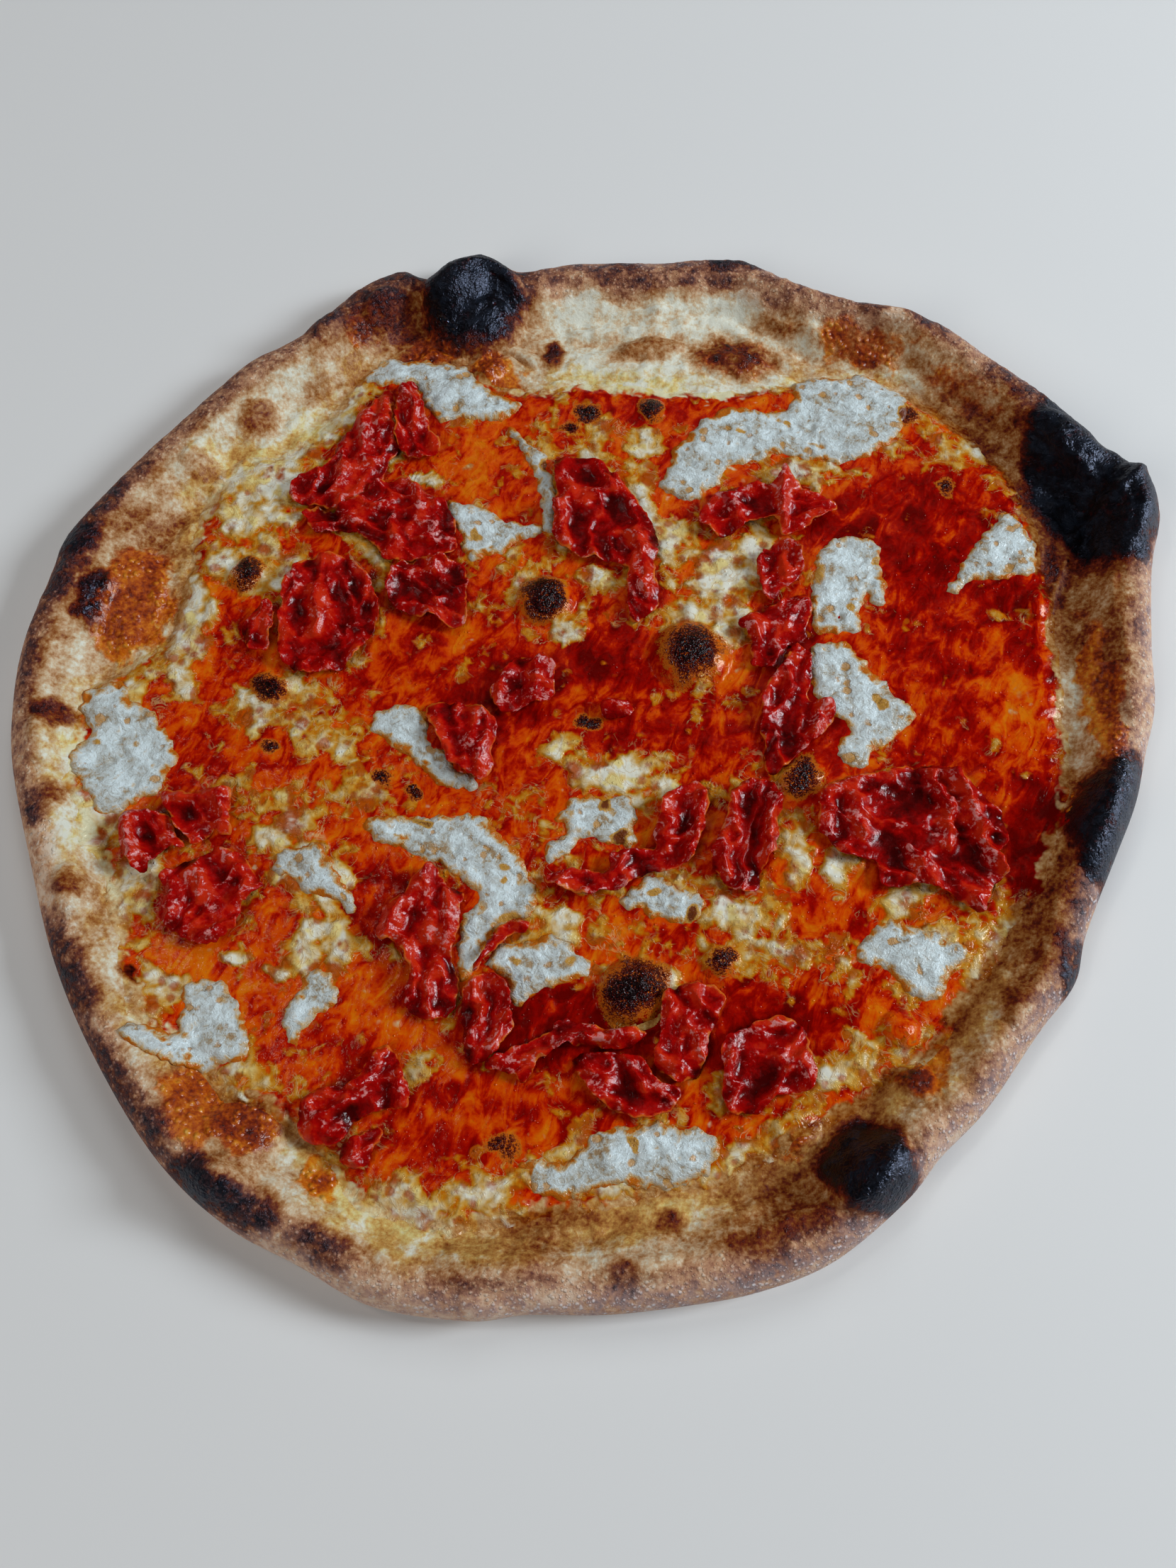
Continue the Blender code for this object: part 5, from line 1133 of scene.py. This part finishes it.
# ---------------------------------------------------------------- pieces
def build_crust():
    """The dough as rings of vertices: in under the pizza, round the edge, and over the rim to the middle."""
    angles = np.linspace(0.0, 360.0, RIM_COLUMNS, endpoint=False)
    over = np.concatenate([EDGE_RINGS, np.arange(FIRST_FINE_RING, RIM_REACH, RIM_STEP), DISH_RINGS])
    insets = np.concatenate([UNDER_RINGS, over])
    plan = np.vstack([from_polar(angles, edge_radius(angles) - inset) for inset in insets])
    upper = np.arange(len(plan)) >= len(UNDER_RINGS) * RIM_COLUMNS
    tuck = np.minimum(np.repeat(insets, RIM_COLUMNS) / FOOT_INSET, 1.0)
    height = WAIST * (1.0 - np.sqrt(1.0 - (1.0 - tuck) ** 2))
    height[upper] = dough_top(plan[upper]) + rim_relief(plan[upper])
    rings = np.arange(len(plan)).reshape(len(insets), RIM_COLUMNS)
    triangles = [strip(below, above) for below, above in zip(rings[:-1], rings[1:])]
    low_centre, high_centre = len(plan), len(plan) + 1
    triangles.append(np.column_stack([np.full(RIM_COLUMNS, low_centre), np.roll(rings[0], -1), rings[0]]))
    triangles.append(np.column_stack([np.full(RIM_COLUMNS, high_centre), rings[-1], np.roll(rings[-1], -1)]))
    middle = np.array([(0.0, 0.0, 0.0), (0.0, 0.0, FLOOR)])
    vertices = np.vstack([np.column_stack([plan, height]), middle])

    bake = np.where(upper, rim_bake(plan), UNDERSIDE_BAKE + 0.2 * fractal_noise(plan, 20.0, 3, 95))
    angles, inset = rim_place(plan)
    outermost = 1 - ease_in(inset, 1.0, 9.0)
    # Flour with painted rim light, strongest on the right and near edges.
    flour_and_rim_light = station_value(FLOURED_AND_RIM_LIT_EDGE, angles) * outermost * (1 - ease_in(bake, 0.5, 0.7))
    dry = station_value(DRY_BAND, angles)
    inner = ease_in(inset + 2.5 * fractal_noise(plan, 14.0, 2, 96), dry - 2.0, dry + 5.0)
    oil = ease_in(sauce_depth(plan), -14.0, 1.0) * station_value(OILED_EDGE, angles) * upper
    golden = pool_field(plan, GOLDEN_SPOTS) * upper
    fields = {"bake": bake, "flour_and_rim_light": flour_and_rim_light, "inner": inner, "oil": oil, "golden": golden}
    fields = {field: np.append(values, [UNDERSIDE_BAKE] * len(middle)) for field, values in fields.items()}
    add_piece("crust_baked", vertices, np.vstack(triangles), fields, dough_look(), "crust")


def neighbours(grid):
    return [np.roll(grid, step, axis) for step in (1, -1) for axis in (0, 1)]


class Pile:
    """Height of what is in place so far, on a fine square grid over the whole pizza."""

    def __init__(self):
        self.axis = np.arange(-PILE_HALF, PILE_HALF + PILE_PITCH / 2, PILE_PITCH)
        x, y = np.meshgrid(self.axis, self.axis)
        self.points = np.column_stack([x.ravel(), y.ravel()])
        self.height = np.zeros(x.shape)
        self.put(dough_top(self.points) + rim_relief(self.points), np.ones(len(self.points), bool))

    def put(self, heights, covered):
        """Lays a piece of the given heights on the grid, where it covers it."""
        flat = self.height.reshape(-1)
        flat[covered] = np.maximum(flat[covered], heights)

    def near(self, loop, margin):
        """The rows and columns of the grid round a loop."""
        low = np.floor((loop.min(axis=0) - margin + PILE_HALF) / PILE_PITCH).astype(int)
        high = np.ceil((loop.max(axis=0) + margin + PILE_HALF) / PILE_PITCH).astype(int)
        return slice(low[1], high[1]), slice(low[0], high[0])

    def support(self, loop, reach):
        """What a limp piece inside the loop rests on: the pile, bridged and rounded over a reach in cells."""
        rows, columns = self.near(loop, 6.0)
        window = self.height[rows, columns]
        for _ in range(reach):
            window = np.maximum.reduce([window] + neighbours(window))
        for _ in range(3 * reach):
            window = (4 * window + sum(neighbours(window))) / 8
        origin = np.array([self.axis[columns.start], self.axis[rows.start]])

        def sample(points):
            place = (points - origin) / PILE_PITCH
            whole = np.clip(np.floor(place).astype(int), 0, np.array(window.shape[::-1]) - 2)
            part_x, part_y = np.clip(place - whole, 0.0, 1.0).T
            column, row = whole.T
            near_row = window[row, column] * (1 - part_x) + window[row, column + 1] * part_x
            far_row = window[row + 1, column] * (1 - part_x) + window[row + 1, column + 1] * part_x
            return near_row * (1 - part_y) + far_row * part_y
        return sample

    def cover(self, loop, surface):
        """Adds a finished piece to the pile."""
        rows, columns = self.near(loop, 0.0)
        x, y = np.meshgrid(self.axis[columns], self.axis[rows])
        points = np.column_stack([x.ravel(), y.ravel()])
        inside = inside_loop(points, loop)
        points = points[inside]
        high = surface(points, distance_to_loop(points, loop))[1]
        window = self.height[rows, columns].reshape(-1)
        window[inside] = np.maximum(window[inside], high)
        self.height[rows, columns] = window.reshape(x.shape)


def cheese_field(points):
    """How thick melted cheese lies, from 0 to 1: it shows from about 0.45."""
    cheese = 0.275 + 0.63 * pool_field(points, CHEESE_POOLS) ** 1.35 - 0.50 * pool_field(points, SAUCE_POOLS)
    return cheese + 0.14 * fractal_noise(points, 14.0, 3, 101)


def red_field(points):
    """How deep a red the sauce is, from 0 for oily orange to 1."""
    red = np.full(len(points), 0.46)
    near = warped(points, 14.0, 3.0, 111)
    for pool in SAUCE_POOLS:
        share = 1 - ease_in(ellipse_reach(near, pool), 0.6, 1.25)
        red += (pool.amount - red) * share
    return red + 0.12 * fractal_noise(points, 14.0, 3, 115)


def sauce_top(points):
    """Height of the sauce and melted cheese over the dish."""
    depth = sauce_depth(points)
    thickness = SAUCE_EDGE_THICK + (SAUCE_THICK - SAUCE_EDGE_THICK) * np.clip(depth / SAUCE_FEATHER, 0.0, 1.0)
    thickness = REST_GAP + thickness * (1.0 + 0.3 * lumps(points, 17.0))
    melted = ease_in(cheese_field(points), 0.4, 0.7)
    thickness += MELTED_THICK * melted + (0.16 + 0.34 * melted) * fractal_noise(points, 6.0, 3, 121)
    thickness += (0.08 + 0.5 * melted) * scattered_domes(points, 6.0, 0.35, 125)
    bed = dough_top(points) + rim_relief(points)
    return bed - SAUCE_DIP + (thickness + SAUCE_DIP) * ease_in(depth, -0.2, 12.0)


def build_sauce(pile):
    """The layer in the dish, on a square grid drawn out to the round outline of the sauce."""
    axis = np.linspace(-1.0, 1.0, SAUCE_CELLS + 1)
    u, v = (grid.ravel() for grid in np.meshgrid(axis, axis))
    x, y = u * np.sqrt(1 - v**2 / 2), v * np.sqrt(1 - u**2 / 2)
    angles, share = polar(np.column_stack([x, y]))
    plan = from_polar(angles, share * sauce_radius(angles)) + np.array(SAUCE_CENTRE)
    grid = np.arange(len(plan)).reshape(SAUCE_CELLS + 1, SAUCE_CELLS + 1)
    a, b, c, d = (part.ravel() for part in (grid[:-1, :-1], grid[:-1, 1:], grid[1:, 1:], grid[1:, :-1]))
    triangles = np.vstack([np.column_stack([a, b, c]), np.column_stack([a, c, d])])
    rim = np.concatenate([grid[0, :-1], grid[:-1, -1], grid[-1, :0:-1], grid[:0:-1, 0]])
    skirt = len(plan) + np.arange(len(rim))
    centre = len(plan) + len(rim)
    under = np.column_stack([np.full(len(rim), centre), np.roll(skirt, -1), skirt])
    buried = np.full(len(rim), SAUCE_BOTTOM)
    vertices = np.vstack([np.column_stack([plan, sauce_top(plan)]), np.column_stack([plan[rim], buried]),
                          [(*SAUCE_CENTRE, SAUCE_BOTTOM)]])
    fields = {"cheese": cheese_field(plan), "red": red_field(plan), "dough": rim_bake(plan),
              "bake": scorch_field(plan, DISH_SCORCHES, 20.0, 0.9),
              "inside": ease_in(sauce_depth(plan), 3.0, 12.0)}
    fields = {field: np.append(values, np.zeros(len(rim) + 1)) for field, values in fields.items()}
    add_piece("sauce_and_cheese_layer", vertices, np.vstack([triangles, strip(skirt, rim), under]), fields,
              sauce_look(), "sauce_and_melted_cheese")
    covered = sauce_depth(pile.points) > 0
    pile.put(sauce_top(pile.points[covered]), covered)


def build_mozzarella(index, outline, pile, look):
    """A melted patch with fibres that run one way, pits and a ragged edge."""
    seed = 200 + 7 * index
    loop = ragged(outline, MOZZARELLA_SPACING, MOZZARELLA_WAVES, seed)
    rest = pile.support(loop, 2)
    turn = math.pi * lattice_hash(index, 3, seed)
    turned = np.array(((math.cos(turn), -math.sin(turn)), (math.sin(turn), math.cos(turn))))
    fibre = turned @ np.diag((1.0, 0.35))

    def pits(points):
        return scattered_domes(points, 5.5, 0.35, seed + 4)

    def surface(points, depth):
        thickness = MOZZARELLA_THICK - 0.3 + 0.5 * gradient_noise(points, 9.0, seed + 1)
        thickness += 0.26 * fractal_noise(points @ fibre, 1.9, 2, seed + 2)
        thickness += 0.22 * fractal_noise(points, 4.0, 2, seed + 3)
        thickness -= PIT_DEPTH * pits(points)
        to_edge = 1.0 - np.minimum(depth / MOZZARELLA_FEATHER, 1.0)
        low = rest(points) - MOZZARELLA_SINK
        return low, low + MOZZARELLA_LEAST + np.sqrt(1.0 - to_edge**2) * np.maximum(thickness, 0.0)

    plan, triangles = triangulate(loop, scattered_points(loop, MOZZARELLA_SPACING, seed))
    depth = distance_to_loop(plan, loop)
    low, high = surface(plan, depth)
    thin = 0.95 * (1 - np.clip(depth / THIN_WIDTH, 0.0, 1.0)) + 0.45 * pits(plan)
    fields = {"thin": thin, "bake": scorch_field(plan, CHEESE_SPOTS, 1.2)}
    name = f"mozzarella_{index + 1:02d}"
    slab("melted_" + name, plan, triangles, low, high, fields, look, name, 0.1)
    pile.cover(loop, surface)


def build_slice(index, cut, pile, look):
    """A limp slice, draped over the pile, with a curled edge, folds and creases."""
    seed = 500 + 9 * index
    loop = ragged(cut.outline, SLICE_SPACING, SLICE_WAVES, seed)
    rest = pile.support(loop, 3)
    along = np.linalg.svd(loop - loop.mean(axis=0), full_matrices=False)[2]

    def creases(points, length, layer):
        """Sharp ridges with smooth hollows between them, from 0 to 1."""
        return (1.0 - np.minimum(np.abs(gradient_noise(points, length, seed + layer)) * 1.6, 1.0)) ** 2

    def lift(points, depth):
        curl = cut.curl * np.clip(1.0 - depth / CURL_REACH, 0.0, 1.0) ** 1.5
        height = curl * np.clip(0.55 + 0.9 * gradient_noise(points, 8.0, seed + 1), 0.0, 1.3)
        near = warped(points, 7.0, 1.3, seed + 2)
        for fold in cut.folds:
            height = height + FOLD_SHARE * fold_height(near, fold)
        draped = near @ along.T @ np.diag(DRAPE)
        height = np.maximum(height, 0.0) + LARGE_CREASE * creases(draped, 6.5, 3)
        height += 0.22 * fractal_noise(near, 6.0, 2, seed + 6) + SMALL_CREASE * creases(draped, 2.6, 4)
        return height + SLICE_LIFT

    def surface(points, depth):
        low = rest(points) - SLICE_SINK + lift(points, depth)
        return low, low + SLICE_THICK * (0.4 + 0.6 * np.clip(depth / 2.0, 0.0, 1.0))

    plan, triangles = triangulate(loop, scattered_points(loop, SLICE_SPACING, seed))
    depth = distance_to_loop(plan, loop)
    low, high = surface(plan, depth)
    rise = lift(plan, depth)
    # crest places painted light and sheen on a slice, valley places painted shade.
    fields = {"edge": 1 - np.clip(depth / 1.6, 0.0, 1.0),
              "crest": np.clip((rise - 0.3) / CREST_RISE, 0.0, 1.0),
              "valley": np.clip(1.0 - rise / 0.5, 0.0, 1.0)}
    name = f"soppressata_{index + 1:02d}"
    slab("cured_" + name, plan, triangles, low, high, fields, look, name, 0.2)
    pile.cover(loop, surface)


# ---------------------------------------------------------------- stage, light and camera
def build_stage():
    """A plain pale floor, which isn't part of the pizza."""
    corners = [(x * FLOOR_HALF, y * FLOOR_HALF, 0) for x, y in ((-1, -1), (1, -1), (1, 1), (-1, 1))]
    mesh = bpy.data.meshes.new("floor")
    mesh.from_pydata(corners, [], [(0, 1, 2, 3)])
    mesh.materials.append(Look("floor").finish(Base_Color=FLOOR_COLOUR, Roughness=0.7))
    floor = bpy.data.objects.new("floor", mesh)
    bpy.context.scene.collection.objects.link(floor)


def add_light(name, place, size, power, colour, glossy):
    """A square softbox that faces the pizza."""
    data = bpy.data.lights.new(name, "AREA")
    data.size = size
    data.energy = power
    data.color = colour
    light = bpy.data.objects.new(name, data)
    light.location = place
    light.visible_glossy = glossy
    light.rotation_euler = (Vector(AIM) - light.location).to_track_quat("-Z", "Y").to_euler()
    bpy.context.scene.collection.objects.link(light)


def build_lights():
    for light in LIGHTS:
        add_light(*light)
    world = bpy.data.worlds.new("studio")
    world.use_nodes = True
    background = world.node_tree.nodes["Background"]
    background.inputs["Color"].default_value = WORLD_COLOUR
    background.inputs["Strength"].default_value = WORLD_STRENGTH
    bpy.context.scene.world = world


def build_camera():
    """The photograph's view: steeply down, from the side nearest the viewer."""
    elevation = math.radians(CAMERA_ELEVATION)
    data = bpy.data.cameras.new("camera")
    data.sensor_width = CAMERA_SENSOR
    data.lens = CAMERA_LENS
    camera = bpy.data.objects.new("camera", data)
    away = Vector((0.0, -math.cos(elevation), math.sin(elevation)))
    camera.location = Vector(AIM) + CAMERA_DISTANCE * away
    camera.rotation_euler = (math.radians(90.0 - CAMERA_ELEVATION), 0.0, 0.0)
    bpy.context.scene.collection.objects.link(camera)
    bpy.context.scene.camera = camera


def build_pizza():
    """The crust first, then the layers, each of which rests on what is there."""
    build_crust()
    pile = Pile()
    build_sauce(pile)
    mozzarella = mozzarella_look()
    for index, outline in enumerate(MOZZARELLA):
        build_mozzarella(index, outline, pile, mozzarella)
    soppressata = soppressata_look()
    for index, cut in enumerate(SLICES):
        build_slice(index, cut, pile, soppressata)


build_pizza()
build_stage()
build_lights()
build_camera()
bpy.context.scene.view_settings.view_transform = "Standard"
bpy.context.view_layer.update()
